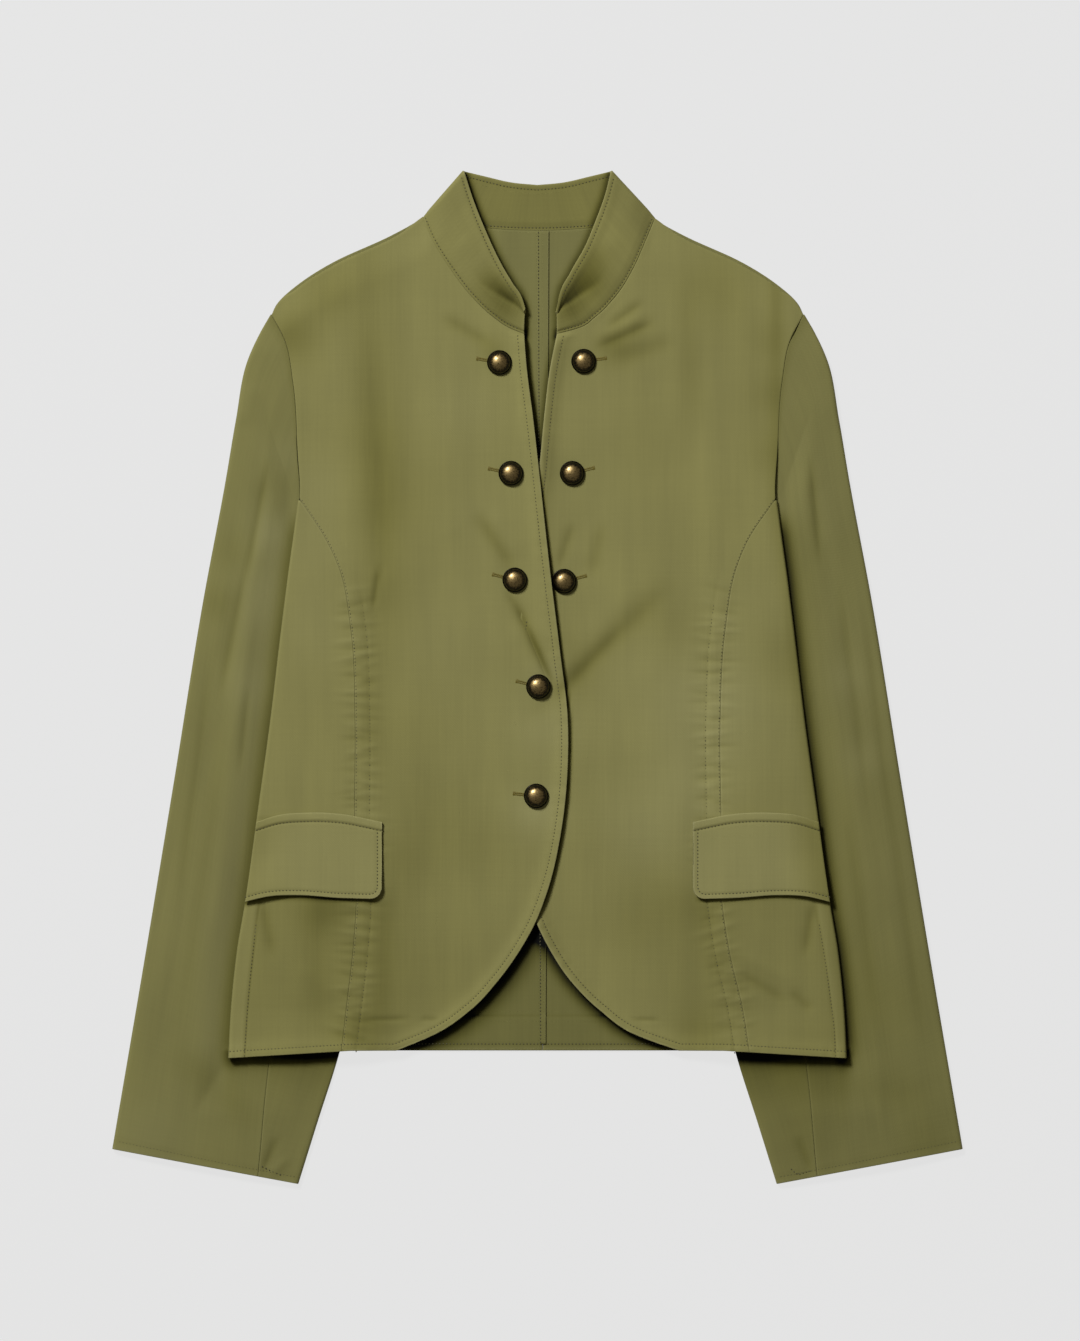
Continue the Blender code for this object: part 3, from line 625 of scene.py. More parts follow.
# Folds run between two points on the floor: ridges where the height is above zero, troughs where it is below.
# The profile is a soft bell at a sharpness of 2, which is the usual one, and comes to a crest as it nears 1.
Fold = namedtuple("Fold", "x0 y0 x1 y1 width height sharpness", defaults=(2.0,))
FRONT_FOLDS = table_of(Fold, (
    (-12, 48, 11, -4, 9, 0.9),
    (-46, 122, -17, 80, 11, 0.7),
    (80, 47, 26, -4, 12, 0.9),
    (48, 118, 36, 82, 9, 0.6),
    (48, 249, 78, 263, 9, 0.9),
    (-119, 86, -123, 48, 9, 0.8),
    (-130, 270, -121, 160, 14, -0.6),
    (122, 262, 118, 150, 14, -0.5),
))
# The troughs of these creases are also darkened in the cloth's tone as painted shade.
FRONT_CREASES = table_of(Fold, (
    (-20, 46, 4, -6, 6.0, 0.7),
    (2, 46, 21, 0, 5.0, 0.7),
    (-19, 62, 18, -20, 3.4, -2.6, 1.3),
    (-8, 40, 14, -10, 1.9, -1.7, 1.4),
    (-25, 68, -6, 36, 3.4, -1.1, 1.5),
    (-48, 126, -14, 76, 5.0, -1.4, 1.7),
    (-36, 130, -8, 88, 6.0, 0.5),
    (110, 78, -16, -40, 9.0, -1.5, 1.8),
    (70, 44, 8, -22, 5.0, -1.0, 1.7),
    (84, 78, 26, 18, 12.0, 0.5),
    (116, 34, 44, -30, 18.0, 0.6),
    (28, 118, 15, 78, 4.2, -0.9, 1.7),
    (50, 120, 40, 70, 4.8, -0.7, 1.8),
    (40, 245, 92, 268, 4.4, -1.6, 1.7),
    (50, 260, 82, 283, 4.2, -1.1, 1.7),
    (44, 255, 84, 273, 4.5, 0.5),
    (56, 236, 108, 254, 7.0, -0.7),
    (-74, 272, -30, 246, 5.0, -1.1, 1.7),
    (-118, 88, -124, 46, 2.6, -1.3, 1.4),
    (-131, 310, -113, 30, 12.0, -1.1),
    (-112, 324, -108, 60, 14.0, -0.55),
    (-115, 104, -108, -30, 18.0, -0.45),
    (-151, 290, -139, 100, 12.0, 0.5),
    (-127, 74, -121, -112, 13.0, -0.6),
    (111, 312, 119, 176, 9.0, -0.5),
    (128, 74, 126, -106, 12.0, -0.4),
    (-70, -48, -8, -120, 16.0, 0.5),
    (-134, -66, -6, -156, 28.0, -0.5),
    (90, 24, 156, -110, 34.0, 0.5),
    (14, -112, 150, -186, 26.0, -0.5),
    (122, -150, 138, -236, 10.0, -0.6),
    (-186, -166, -184, -274, 9.0, 0.5),
    (-167, -150, -163, -282, 9.0, -0.5),
    (-140, -166, -144, -268, 7.0, 0.5),
    (-111, -144, -119, -282, 8.0, -0.7),
    (144, -202, 202, -235, 6.0, 0.8, 1.7),
    (148, -220, 192, -246, 4.0, -1.0, 1.6),
    (188, -234, 208, -252, 3.5, -1.0, 1.5),
    (160, -166, 176, -262, 9.0, 0.4),
    (-182, -212, -146, -244, 6.0, 0.6, 1.7),
    (-136, -257, -92, -256, 1.6, -0.9, 1.6),
    (-89, -256, -73, -257, 1.4, -0.8, 1.6),
    (68, -257, 94, -257, 1.4, -0.8, 1.6),
    (-207, -164, -197, -214, 4.0, -1.0, 1.7),
    (208, -164, 200, -214, 4.0, -1.0, 1.7),
))
COLLAR_CREASES = table_of(Fold, (
    (-32, 290, -12, 280, 5, -0.6, 1.8),
    (40, 292, 20, 281, 5, -0.6, 1.8),
    (-60, 330, -44, 316, 7, 0.4),
    (64, 332, 48, 318, 7, 0.4),
))
SLEEVE_FOLDS = table_of(Fold, (
    (-204, 152, -216, 90, 9, -0.9),
    (-221, 76, -237, -4, 10, -0.9),
    (-214, 224, -222, 186, 8, 0.8),
    (206, 152, 210, 98, 9, -0.9),
    (206, 252, 226, 184, 8, 0.8),
    (244, 20, 258, -70, 11, -0.5),
))
# The troughs of these creases are also darkened in the cloth's tone as painted shade.
SLEEVE_CREASES = table_of(Fold, (
    (-200, 170, -220, 66, 2.8, -1.3, 1.5),
    (-194, 160, -208, 70, 6.0, 0.6),
    (-216, 96, -240, -26, 2.8, -1.1, 1.5),
    (-230, 130, -245, -10, 7.0, 0.5),
    (-216, 0, -224, -80, 2.6, -0.9, 1.6),
    (-212, 60, -230, -70, 6.0, 0.5),
    (-242, 30, -272, -190, 3.8, -0.6, 1.8),
    (-234, -40, -268, -270, 6.0, -0.35),
    (-258, -90, -290, -270, 7.0, 0.5),
    (-280, -276, -200, -344, 12.0, -0.6),
    (-207, -374, -194, -342, 3.0, -1.0, 1.6),
    (-202, -376, -186, -358, 3.0, 0.8, 1.6),
    (204, 172, 213, 76, 2.8, -1.2, 1.5),
    (198, 160, 204, 80, 6.0, 0.6),
    (220, 130, 234, 20, 7.0, 0.5),
    (224, 90, 250, -110, 3.6, -0.7, 1.8),
    (244, 60, 268, -130, 3.4, -0.6, 1.8),
    (236, -50, 256, -190, 7.0, 0.5),
    (230, -80, 258, -280, 5.0, -0.6),
    (260, -60, 292, -290, 4.0, -0.5),
    (196, -300, 310, -318, 16.0, -0.7),
    (207, -374, 194, -342, 3.0, -1.0, 1.6),
))

# What each sheet was cut to: the box it was cut from and its own flat area, in metres and square metres.
Cut = namedtuple("Cut", "width length area")

# Ramps: where a change starts and over what run it is done, towards lower values where the run is below 0.
Ramp = namedtuple("Ramp", "start run")
PUCKERED = Ramp(PUCKER_TOP_Y + 30.0, -40.0)
SIDE_SEAM_SHOWS = Ramp(SIDE_LINE[0].y - 12.0, -14.0)
SIDE_SEAM_EDGE = Ramp(-0.6, 1.2)
SKIRT_DOWN = Ramp(FLAP[0].bottom + 20.0, -30.0)
SKIRT_OUT = Ramp(80.0, 40.0)
LAP_TOP = Ramp(LAP_TOP_Y, -20.0)
LAP_FOOT = Ramp(LAP_FOOT_Y, 20.0)
LAP_PRESSED = Ramp(3.0, -6.0)
HEM_LIFT_IN = Ramp(HEM_START_X, 36.0)
HEM_LIFT_OUT = Ramp(176.0, 54.0)
HEM_LIFT_DOWN = Ramp(HEM_Y + HEM_LIFT_RUN, -HEM_LIFT_RUN)
UNDER_FLAP = Ramp(1.0, 4.0)
GAP_DOWN = Ramp(BODY[0].y, -60.0)
BACK_HEM_TURN = Ramp(BACK_HEM_TURN_Y, -3.0)
SIDE_SHADOW_TOP = Ramp(SIDE_TOP[1], -26.0)
SIDE_SHADOW_FOOT = Ramp(HEM_Y - 20.0, 30.0)
HEM_SHADOW_OUT = Ramp(160.0, 66.0)
HEM_SHADOW_SIDE = Ramp(8.0, -12.0)
COLLAR_ROLL = Ramp(0.12, 0.46)
VALLEY_IN = Ramp(-0.10, 0.14)
VALLEY_OUT = Ramp(0.62, 0.32)
COLLAR_LIP_UP = Ramp(0.70, 0.22)
FLAP_RIDGE_FOOT = Ramp(FLAP_RIDGE_WIDTH - 1.0, 2.0)
FLAP_SEWN = Ramp(FLAP_RIDGE_WIDTH, 2.0)
FLAP_LIFT_DOWN = Ramp(16.0, 44.0)
FLAP_CORNER_DOWN = Ramp(26.0, 34.0)
DOME_PATINA_AND_HIGHLIGHT_OUT = Ramp(0.46, 0.40)

# Numbers of points along lines, and of rows and columns of points on the pieces.
NECK_POINTS = 90
EDGE_POINTS = 150
HEM_POINTS = 26
PRINCESS_POINTS = 110
SIDE_POINTS = 40
BACK_HEM_POINTS = 60
CAP_POINTS = 60
CUFF_POINTS = 80
LEAF_LINE_POINTS = 60
LEAF_POINTS = 90
PEAK_POINTS = 8
COLLAR_BACK_POINTS = 40
FLAP_CORNER_POINTS = 10
FLAP_POINTS = 62
CHEST_ROWS = 80
SKIRT_ROWS = 205
SIDE_BEHIND_POINTS = 10
STRIP_ROWS = 300
STRIP_POINTS = 9
SLEEVE_ROWS = 240
UPPER_BEHIND_POINTS = 6
UNDER_BEHIND_POINTS = 24

# The rows of a sleeve stand closer together at the cap, by this power.
SLEEVE_CROWDING = 1.12

# Rows or columns by runs, each with its length and the step inside it.
YOKE_RUNS = ((72.0, 1.6),)
FRONT_RUNS = ((28.0, 1.4), (92.0, 3.2), (45.0, 1.3))
SIDE_RUNS = ((14.0, 1.3), (40.0, 3.0), (24.0, 1.4))
BACK_RUNS = ((110.0, 3.4), (100.0, 2.6))
UPPER_RUNS = ((20.0, 2.0), (90.0, 3.0), (10.0, 1.6))
UNDER_RUNS = ((10.0, 1.6), (30.0, 3.0))
COLLAR_RUNS = ((8.0, 0.9), (22.0, 1.6), (10.0, 0.9))
FLAP_RUNS = ((10.0, 0.8), (38.0, 1.8), (10.0, 0.8))

# Rows by stretches, each with the place that it ends at and its number of rows.
SIDE_STRETCHES = ((PUCKER_TOP_Y, 36), (HEM_Y, SKIRT_ROWS))
BACK_STRETCHES = ((SHOULDER_TIP[1], 36), (UNDERARM[1], 45), (BACK_FINE_Y, 60), (HEM_Y, 56))


def column(table, name):
    """One named column of a table as an array."""
    return np.array([getattr(row, name) for row in table], dtype=float)


def smooth(keys, values, at):
    """Smooth curve through a table's rows, read at the given keys and held level past the ends."""
    order = np.argsort(keys)
    keys = np.asarray(keys, dtype=float)[order]
    values = np.asarray(values, dtype=float)[order]
    slopes = np.gradient(values, keys)
    at = np.clip(at, keys[0], keys[-1])
    cell = np.clip(np.searchsorted(keys, at, side="right") - 1, 0, len(keys) - 2)
    width = keys[cell + 1] - keys[cell]
    t = (at - keys[cell]) / width
    start = (1 + 2 * t) * (1 - t) ** 2 * values[cell] + t * (1 - t) ** 2 * width * slopes[cell]
    end = t ** 2 * (3 - 2 * t) * values[cell + 1] - t ** 2 * (1 - t) * width * slopes[cell + 1]
    return start + end


def by_y(table, name, y):
    """A table's column as a smooth function of its y column."""
    return smooth(column(table, "y"), column(table, name), y)


def path(points, t):
    """Points on a smooth path through the given points, t from 0 to 1 by length."""
    points = np.asarray(points, dtype=float)
    length = run_length(points)
    at = np.asarray(t) * length[-1]
    return np.stack([smooth(length, points[:, k], at) for k in range(points.shape[1])], axis=-1)


def run_length(points):
    """How far along a line each of its points is."""
    steps = np.linalg.norm(np.diff(points, axis=0), axis=1)
    return np.concatenate(([0.0], np.cumsum(steps)))


def ease(t):
    """Smooth step from 0 to 1."""
    t = np.clip(t, 0.0, 1.0)
    return t * t * (3 - 2 * t)


def bell(t):
    """Soft bump, 1 at t = 0."""
    return np.exp(-np.square(t))


def round_off(t):
    """Quarter circle from 0 at t = 0 to 1 at t = 1 and beyond."""
    return np.sqrt(1 - (1 - np.clip(t, 0.0, 1.0)) ** 2)


def unit(vectors):
    """Vectors scaled to length 1 along the last axis."""
    return vectors / np.maximum(np.linalg.norm(vectors, axis=-1, keepdims=True), 1e-12)


def climb(value, ramp):
    """Smooth step from 0 at a ramp's start to 1 at the end of its run."""
    return ease((value - ramp.start) / ramp.run)


def spaced(runs):
    """Stations from 0 to 1: each run is (length, step), and steps are even inside a run."""
    marks = [0.0]
    for length, step in runs:
        count = max(1, round(length / step))
        marks += list(marks[-1] + length * np.arange(1, count + 1) / count)
    return np.array(marks) / marks[-1]


def stretched(first, stretches):
    """Rows from a first place on: each stretch is (last place, rows), with even rows inside it."""
    rows = [first]
    for last, count in stretches:
        rows += list(np.linspace(rows[-1], last, count)[1:])
    return np.array(rows)


def fold_steps(count=4):
    """Steps from 1 to -1 that walk round a fold at even angles."""
    angles = np.linspace(math.pi / 2, -math.pi / 2, 2 * count + 1)
    return np.sign(angles) * (1 - np.cos(angles))


def folds_height(folds, x, y):
    """Height that a table of folds adds at a place, each fold tapering to its ends."""
    total = np.zeros(np.broadcast(x, y).shape)
    for fold in folds:
        along = np.array([fold.x1 - fold.x0, fold.y1 - fold.y0])
        length = np.linalg.norm(along)
        along = along / length
        t = ((x - fold.x0) * along[0] + (y - fold.y0) * along[1]) / length
        off = (x - fold.x0) * along[1] - (y - fold.y0) * along[0]
        taper = ease(FOLD_TAPER * (1 - np.abs(2 * t - 1)))
        total = total + fold.height * taper * np.exp(-np.abs(off / fold.width) ** fold.sharpness)
    return total


def folds_shade(folds, x, y):
    """Painted shade in the troughs of a table of folds: how much darker they are, as a tone below 0."""
    return CREASE_SHADE * folds_height([fold for fold in folds if fold.height < 0], x, y)


def patches(table, x, y):
    """Painted light and shade that a table of broad patches adds at a place, as a tone."""
    return sum(patch.tone * bell(np.hypot(x - patch.x, y - patch.y) / patch.reach) for patch in table)


def line_distance(x, y, line):
    """Distance from places to a line of points, and how far along the line the nearest point is."""
    place = np.stack(np.broadcast_arrays(x, y), axis=-1).reshape(-1, 2)
    start = line[:-1]
    step = np.diff(line, axis=0)
    size = np.sum(step * step, axis=1)
    length = run_length(line)
    best = np.full(len(place), np.inf)
    along = np.zeros(len(place))
    for k in range(len(start)):
        t = np.clip(((place - start[k]) @ step[k]) / size[k], 0, 1)
        gap = np.linalg.norm(place - start[k] - t[:, None] * step[k], axis=1)
        closer = gap < best
        best[closer] = gap[closer]
        along[closer] = (length[k] + t * (length[k + 1] - length[k]))[closer]
    shape = np.broadcast(x, y).shape
    return best.reshape(shape), along.reshape(shape)


def ripple(x, y, waves, side):
    """Gentle unevenness of laid cloth, about -1 to 1, from a few crossing waves."""
    draw = np.random.default_rng(waves.seed + side)
    total = 0.0
    for _ in range(WAVE_COUNT):
        angle = draw.uniform(0, 2 * math.pi)
        wave = 2 * math.pi / (waves.length * draw.uniform(*WAVE_SPREAD))
        phase = draw.uniform(0, 2 * math.pi)
        total = total + np.sin(wave * (x * math.cos(angle) + y * math.sin(angle)) + phase)
    return total / WAVE_COUNT


def puckers(off, along, row, side):
    """Short gathers across a sewn line, uneven in length, height and spacing, as heights of about -1 to 1."""
    draw = np.random.default_rng(row.seed + side)
    total = np.zeros(np.shape(off))
    at = row.first
    while at < row.last:
        reach = draw.uniform(*PUCKER_REACH)
        width = draw.uniform(*PUCKER_WIDTH)
        height = draw.uniform(*PUCKER_HEIGHT) * draw.choice((1.0, -1.0), p=PUCKER_UP_DOWN)
        lean = draw.uniform(-PUCKER_LEAN, PUCKER_LEAN)
        total = total + height * bell((along - at + lean * off) / width) * bell(off / reach)
        at += draw.uniform(*PUCKER_STEP)
    return total


def side_name(side):
    """The wearer's side: left is at +X."""
    return "left" if side > 0 else "right"


def sleeve_cover(x, y, ramp):
    """1 where a sleeve lies under the body, falling to 0 over the ramp's width around it."""
    out = np.abs(x)
    slope = (SIDE_TOP[1] - UNDERARM[1]) / (SIDE_TOP[0] - UNDERARM[0])
    below_armhole = UNDERARM[1] + slope * (out - UNDERARM[0]) - y
    past_inner_fold = out - by_y(SLEEVE_INNER, "x", y)
    inside = np.minimum(below_armhole, past_inner_fold)
    return ease((inside + COVER_MARGIN + ramp) / ramp)


def back_height(x, y):
    """Middle of the back's wall: on the floor, and raised over the sleeves."""
    return CLOTH_WALL / 2 + BACK_LIFT * sleeve_cover(x, y, BACK_RAMP)


def shoulder_y(x):
    """The shoulder line's y, rising steeply inside the neck point so that the neck isn't rounded down."""
    out = np.abs(x)
    inner = NECK_Y + (SHOULDER[0].x - out)
    return np.where(out < SHOULDER[0].x, inner, smooth(column(SHOULDER, "x"), column(SHOULDER, "y"), out))


def front_height(side, x, y):
    """Middle of a front's wall in the solids: over the back, low at the shoulder, lapped at the centre."""
    z = CLOTH_WALL / 2 + FREE_RISE + FRONT_LIFT * sleeve_cover(x, y, FRONT_RAMP)
    lap = ease((LAP_OUTER - side * x) / (LAP_OUTER - LAP_INNER))
    z = z + lap * (-LEFT_LAP_DROP if side > 0 else RIGHT_LAP_RISE)
    z = z + folds_height(FRONT_FOLDS, x, y)
    seam = CLOTH_WALL / 2 + SHOULDER_RISE
    return seam + (z - seam) * ease((shoulder_y(x) - y) / SHOULDER_ROUND)


def hem_drop(x, y):
    """How far the hem sinks towards the sides."""
    across = np.clip((np.abs(x) - HEM_DROP_INNER) / (HEM_DROP_OUTER - HEM_DROP_INNER), 0, 1)
    return HEM_DROP * across * np.clip((HEM_DROP_TOP - y) / (HEM_DROP_TOP - HEM_Y), 0, 1)


@lru_cache(maxsize=None)
def neck_line(side):
    """Neck seam from the neck point down to the front end of the collar."""
    y = np.linspace(NECK_Y, NECK_FRONT_Y, NECK_POINTS)
    return np.stack((side * by_y(NECK, side_name(side), y), y), axis=1)


@lru_cache(maxsize=None)
def front_line(side):
    """Front edge from the neck down round the cutaway, then the hem out to the side fold."""
    y = np.linspace(NECK_FRONT_Y, HEM_Y, EDGE_POINTS)
    edge = np.stack((by_y(FRONT_EDGE, side_name(side), y), y), axis=1)
    x = side * np.linspace(HEM_START_X, BODY[-1].fold, HEM_POINTS)[1:]
    hem = np.stack((x, HEM_Y - hem_drop(x, HEM_Y)), axis=1)
    return np.concatenate((edge, hem))


@lru_cache(maxsize=None)
def princess_line(side):
    """Princess seam from the armhole to the hem."""
    y = np.linspace(PRINCESS_TOP_Y, HEM_Y, PRINCESS_POINTS)
    x = side * by_y(BODY, side_name(side), y)
    return np.stack((x, y - hem_drop(x, y)), axis=1)


@lru_cache(maxsize=None)
def princess_sewing(side):
    """The row of stitches beside the princess seam, on the centre panel."""
    return offset_line(princess_line(side), side * PRINCESS_ALLOWANCE)


@lru_cache(maxsize=None)
def side_line(side):
    """The side seam where it shows on the lower front, from under the flap to the hem."""
    y = np.linspace(SIDE_LINE[0].y, SIDE_LINE[-1].y, SIDE_POINTS)
    return np.stack((side * by_y(SIDE_LINE, side_name(side), y), y), axis=1)


def offset_line(line, distance):
    """A line moved sideways: to the right of its own direction where the distance is above zero."""
    ahead = unit(np.gradient(line, axis=0))
    return line + distance * np.stack((ahead[:, 1], -ahead[:, 0]), axis=1)


def front_relief(side, x, y):
    """Fine form of a front over its solid, and its tone: painted shade in grooves, creases, gathers, the
    skirt and shadows, painted light and shade in broad patches, and lighter edges that are worn and carry a
    painted highlight.
    """
    cloth = bpy.context.scene.jacket_cloth
    name = side_name(side)
    depth = cloth.pucker_depth / MM
    z = folds_height(FRONT_CREASES, x, y) + cloth.unevenness / MM * ripple(x, y, FRONT_WAVES, side)
    seam, along = line_distance(x, y, princess_line(side))
    inward = np.where(side * x < by_y(BODY, name, y), -seam, seam)
    lower = climb(y, PUCKERED)
    gathers = puckers(inward, along, SEAM_PUCKERS, side)
    gathers = gathers + puckers(inward + PRINCESS_ALLOWANCE, along, ALLOWANCE_PUCKERS, side)
    gathers = depth * lower * gathers
    z = z + gathers + SEAM_RIDGE * lower * bell((inward + PRINCESS_ALLOWANCE / 2) / SEAM_RIDGE_WIDTH)
    sewing, _ = line_distance(x, y, princess_sewing(side))
    edge, along = line_distance(x, y, front_line(side))
    sewn = lower * bell(sewing / GROOVE_WIDTH) + bell((edge - EDGE_STITCH) / GROOVE_WIDTH)
    edge_gathers = EDGE_PUCKER_SHARE * depth * puckers(edge - EDGE_STITCH, along, EDGE_PUCKERS, side)
    z = z + edge_gathers * bell(edge / EDGE_PUCKER_REACH)
    past_side = side * x - by_y(SIDE_LINE, name, y)
    shows = climb(y, SIDE_SEAM_SHOWS)
    strip = shows * climb(past_side, SIDE_SEAM_EDGE)
    side_groove = shows * bell(past_side / GROOVE_WIDTH)
    z = z + SIDE_STEP * strip - GROOVE_DEPTH * (sewn + side_groove)
    z = z + EDGE_LIFT * bell(edge / EDGE_LIFT_REACH) + hem_lift(x, y)
    for button in BUTTONS:
        if button.side == side:
            z = z - BUTTON_PRESS * bell(np.hypot(x - button.x, y - button.y) / BUTTON_PRESS_REACH)
    neck, _ = line_distance(x, y, neck_line(side))
    held = ease((shoulder_y(x) - y) / SHOULDER_ROUND) * ease(neck / NECK_HELD) * (1 - under_flap(side, x, y))

    tone = EDGE_WEAR_AND_HIGHLIGHT * bell(edge / EDGE_WEAR_AND_HIGHLIGHT_REACH) - SEWN_SHADE * sewn - SIDE_SHADE * side_groove
    tone = tone + SEAM_WEAR_AND_HIGHLIGHT * bell(seam / GROOVE_WIDTH)
    tone = tone + folds_shade(FRONT_CREASES, x, y) + CREASE_SHADE * gathers + SIDE_STRIP_LIGHTER * strip
    tone = tone - SKIRT_SHADE * climb(y, SKIRT_DOWN) * climb(np.abs(x), SKIRT_OUT)
    tone = tone + patches(FRONT_LIGHT_AND_SHADE_PATCHES, x, y) + flap_shadow(side, x, y)
    tone = tone - SIDE_TURN_SHADE[side] * bell((by_y(BODY, "fold", y) - side * x) / SIDE_TURN_REACH)
    if side > 0:
        past_lap = x - by_y(FRONT_EDGE, "right", y)
        held = held * (1 - LAP_HOLD * climb(past_lap, LAP_PRESSED))
        lapped = climb(y, LAP_TOP) * climb(y, LAP_FOOT)
        tone = tone + LAP_SHADOW.tone * bell(past_lap / LAP_SHADOW.reach) * lapped
    return z * held, tone


def flap_shadow(side, x, y):
    """Shadow of a pocket flap's free edge on the front below it, as a tone below 0."""
    out = np.abs(x)
    below = np.interp(out, column(FLAP, "x"), column(FLAP, "bottom")) - y
    cast = FLAP_SHADOW[side]
    return cast.tone * (ease((out - FLAP[0].x) / FLAP_CORNER) * bell(below / cast.reach))


def hem_lift(x, y):
    """How far the hem stands off the sleeves: most over the sleeve's inner half, little at the corner."""
    out = np.abs(x)
    across = climb(out, HEM_LIFT_IN) * (1 - HEM_CORNER_LOSS * climb(out, HEM_LIFT_OUT))
    return HEM_LIFT * across * climb(y, HEM_LIFT_DOWN)


def under_flap(side, x, y):
    """1 where a pocket flap lies on the front, 0 outside it."""
    inside = np.minimum(side * x - FLAP[0].x, np.minimum(FLAP[1].top - y, y - FLAP[1].bottom))
    return climb(inside, UNDER_FLAP)


def front_surface(side, x, y):
    """Middle of a front's wall with all its fine form."""
    return front_height(side, x, y) + front_relief(side, x, y)[0]


def grid_faces(rows, cols):
    """Quads of a grid of points."""
    index = np.arange(rows * cols).reshape(rows, cols)
    return np.stack((index[:-1, :-1], index[:-1, 1:], index[1:, 1:], index[1:, :-1]), axis=-1).reshape(-1, 4)


def grid_rim(rows, cols):
    """Indices round the edge of a grid, and of the point one step inside each."""
    index = np.arange(rows * cols).reshape(rows, cols)
    rim = np.concatenate((index[0], index[1:, -1], index[-1, -2::-1], index[-2:0:-1, 0]))
    i, j = np.divmod(rim, cols)
    return rim, np.clip(i, 1, rows - 2) * cols + np.clip(j, 1, cols - 2)


def grid_normals(middle):
    """Unit normals of a grid of points."""
    return unit(np.cross(np.gradient(middle, axis=1), np.gradient(middle, axis=0)))


def shell(name, middle, wall, chart, tone, material):
    """A closed cloth wall with rounded edges round a grid of middle points (rows, columns, xyz in mm).

    The chart gives each point's place on the flat cloth, which the weave follows, and tone its painted light
    and shade and its wear.
    """
    rows, cols = middle.shape[:2]
    count = rows * cols
    flat = middle.reshape(-1, 3)
    normal = grid_normals(middle).reshape(-1, 3)
    half = np.broadcast_to(np.asarray(wall, dtype=float) / 2, (rows, cols)).reshape(-1, 1)
    rim, inside = grid_rim(rows, cols)
    around = flat[rim]
    out = unit(np.cross(np.roll(around, -1, axis=0) - np.roll(around, 1, axis=0), normal[rim]))
    spacing = np.linalg.norm(around - flat[inside], axis=1, keepdims=True)
    inset = out * np.minimum(np.minimum(half[rim], RIM_ROUND), spacing / 2)
    top = flat + normal * half
    bottom = flat - normal * half
    top[rim] -= inset
    bottom[rim] -= inset
    rings = [around + inset * (math.cos(a) - 1) + normal[rim] * half[rim] * math.sin(a) for a in RIM_ANGLES]
    points = np.concatenate((top, bottom, *rings))

    upper = grid_faces(rows, cols)
    between = [2 * count + k * len(rim) + np.arange(len(rim)) for k in range(len(rings))]
    loops = [rim, *between, rim + count]
    strips = [np.stack((np.roll(a, -1), a, b, np.roll(b, -1)), axis=-1) for a, b in zip(loops, loops[1:])]
    faces = np.concatenate((upper, upper[:, ::-1] + count, *strips))

    made = mesh_object(name, points, faces.tolist(), material)
    source = np.concatenate((np.arange(count), np.arange(count), *([rim] * len(rings))))
    add_chart(made.data, chart.reshape(-1, 2)[source])
    shade = made.data.attributes.new("tone", "FLOAT", "POINT")
    values = np.broadcast_to(tone, (rows, cols)).reshape(-1)[source]
    shade.data.foreach_set("value", values.astype(np.float32))
    return made


def mesh_object(name, points, faces, material):
    """A smooth mesh object from points in mm."""
    mesh = bpy.data.meshes.new(name)
    mesh.from_pydata((np.asarray(points) * MM).tolist(), [], faces)
    mesh.materials.append(material)
    mesh.shade_smooth()
    mesh.update()
    made = bpy.data.objects.new(name, mesh)
    bpy.context.scene.collection.objects.link(made)
    return made


def add_chart(mesh, chart):
    """Stores each point's place on the flat cloth, in metres, as the piece's own UV map."""
    layer = mesh.uv_layers.new(name="cloth")
    corners = np.empty(len(mesh.loops), dtype=np.int32)
    mesh.loops.foreach_get("vertex_index", corners)
    layer.data.foreach_set("uv", (chart[corners] * MM).astype(np.float32).reshape(-1))


def dress(made, slot, *nodes):
    """Puts a piece on the jacket's one body, in place of the nodes it stands for."""
    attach(made, BODY_NAME)
    if nodes:
        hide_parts(*nodes)
    return made


def front_centre(side):
    """Middle points of a front's centre panel, in rows from the shoulder to the cutaway hem, and its tone."""
    name = side_name(side)
    yoke = spaced(YOKE_RUNS)
    chest = np.linspace(0, 1, CHEST_ROWS)[1:]
    skirt = np.linspace(0, 1, SKIRT_ROWS)[1:]
    low = PUCKER_TOP_Y + (HEM_Y - PUCKER_TOP_Y) * skirt
    outer_y = np.concatenate((
        SHOULDER_TIP[1] + (YOKE_FOOT_Y - SHOULDER_TIP[1]) * yoke,
        YOKE_FOOT_Y + (PUCKER_TOP_Y - YOKE_FOOT_Y) * chest,
        low,
    ))
    neck = neck_line(side)
    at = yoke * run_length(neck)[-1]
    edge_y = np.concatenate((NECK_FRONT_Y + (PUCKER_TOP_Y - NECK_FRONT_Y) * chest, low))
    inner_y = np.concatenate((np.interp(at, run_length(neck), neck[:, 1]), edge_y))
    inner_x = np.concatenate((np.interp(at, run_length(neck), neck[:, 0]), by_y(FRONT_EDGE, name, edge_y)))
    armhole = by_y(ARMHOLE, "front", outer_y)
    outer_x = side * np.where(outer_y > PRINCESS_TOP_Y, armhole, by_y(BODY, name, outer_y))
    across = spaced(FRONT_RUNS)
    x = outer_x[:, None] + (inner_x - outer_x)[:, None] * across
    y = outer_y[:, None] + (inner_y - outer_y)[:, None] * across
    to_ends = np.minimum(np.abs(x[0] - x[0, 0]), np.abs(x[0] - x[0, -1]))
    inset = SHOULDER_INSET * np.clip(to_ends / SHOULDER_INSET_RUN, 0, 1)
    inset = inset - NECK_POINT_RISE * bell((x[0] - x[0, -1]) / SHOULDER_INSET_RUN)
    towards_seam = np.zeros(len(outer_y))
    towards_seam[:len(yoke)] = (1 - yoke) ** 2
    y = y + towards_seam[:, None] * (shoulder_y(x[0]) - inset - y[0])
    y = y - hem_drop(x, y)
    relief, tone = front_relief(side, x, y)
    return np.stack((x, y, front_height(side, x, y) + relief), axis=-1), tone


def fold_radius(side, y):
    """Half the height between front and back at the side fold."""
    x = side * by_y(BODY, "fold", y)
    return (front_height(side, x, y) - back_height(x, y)) / 2


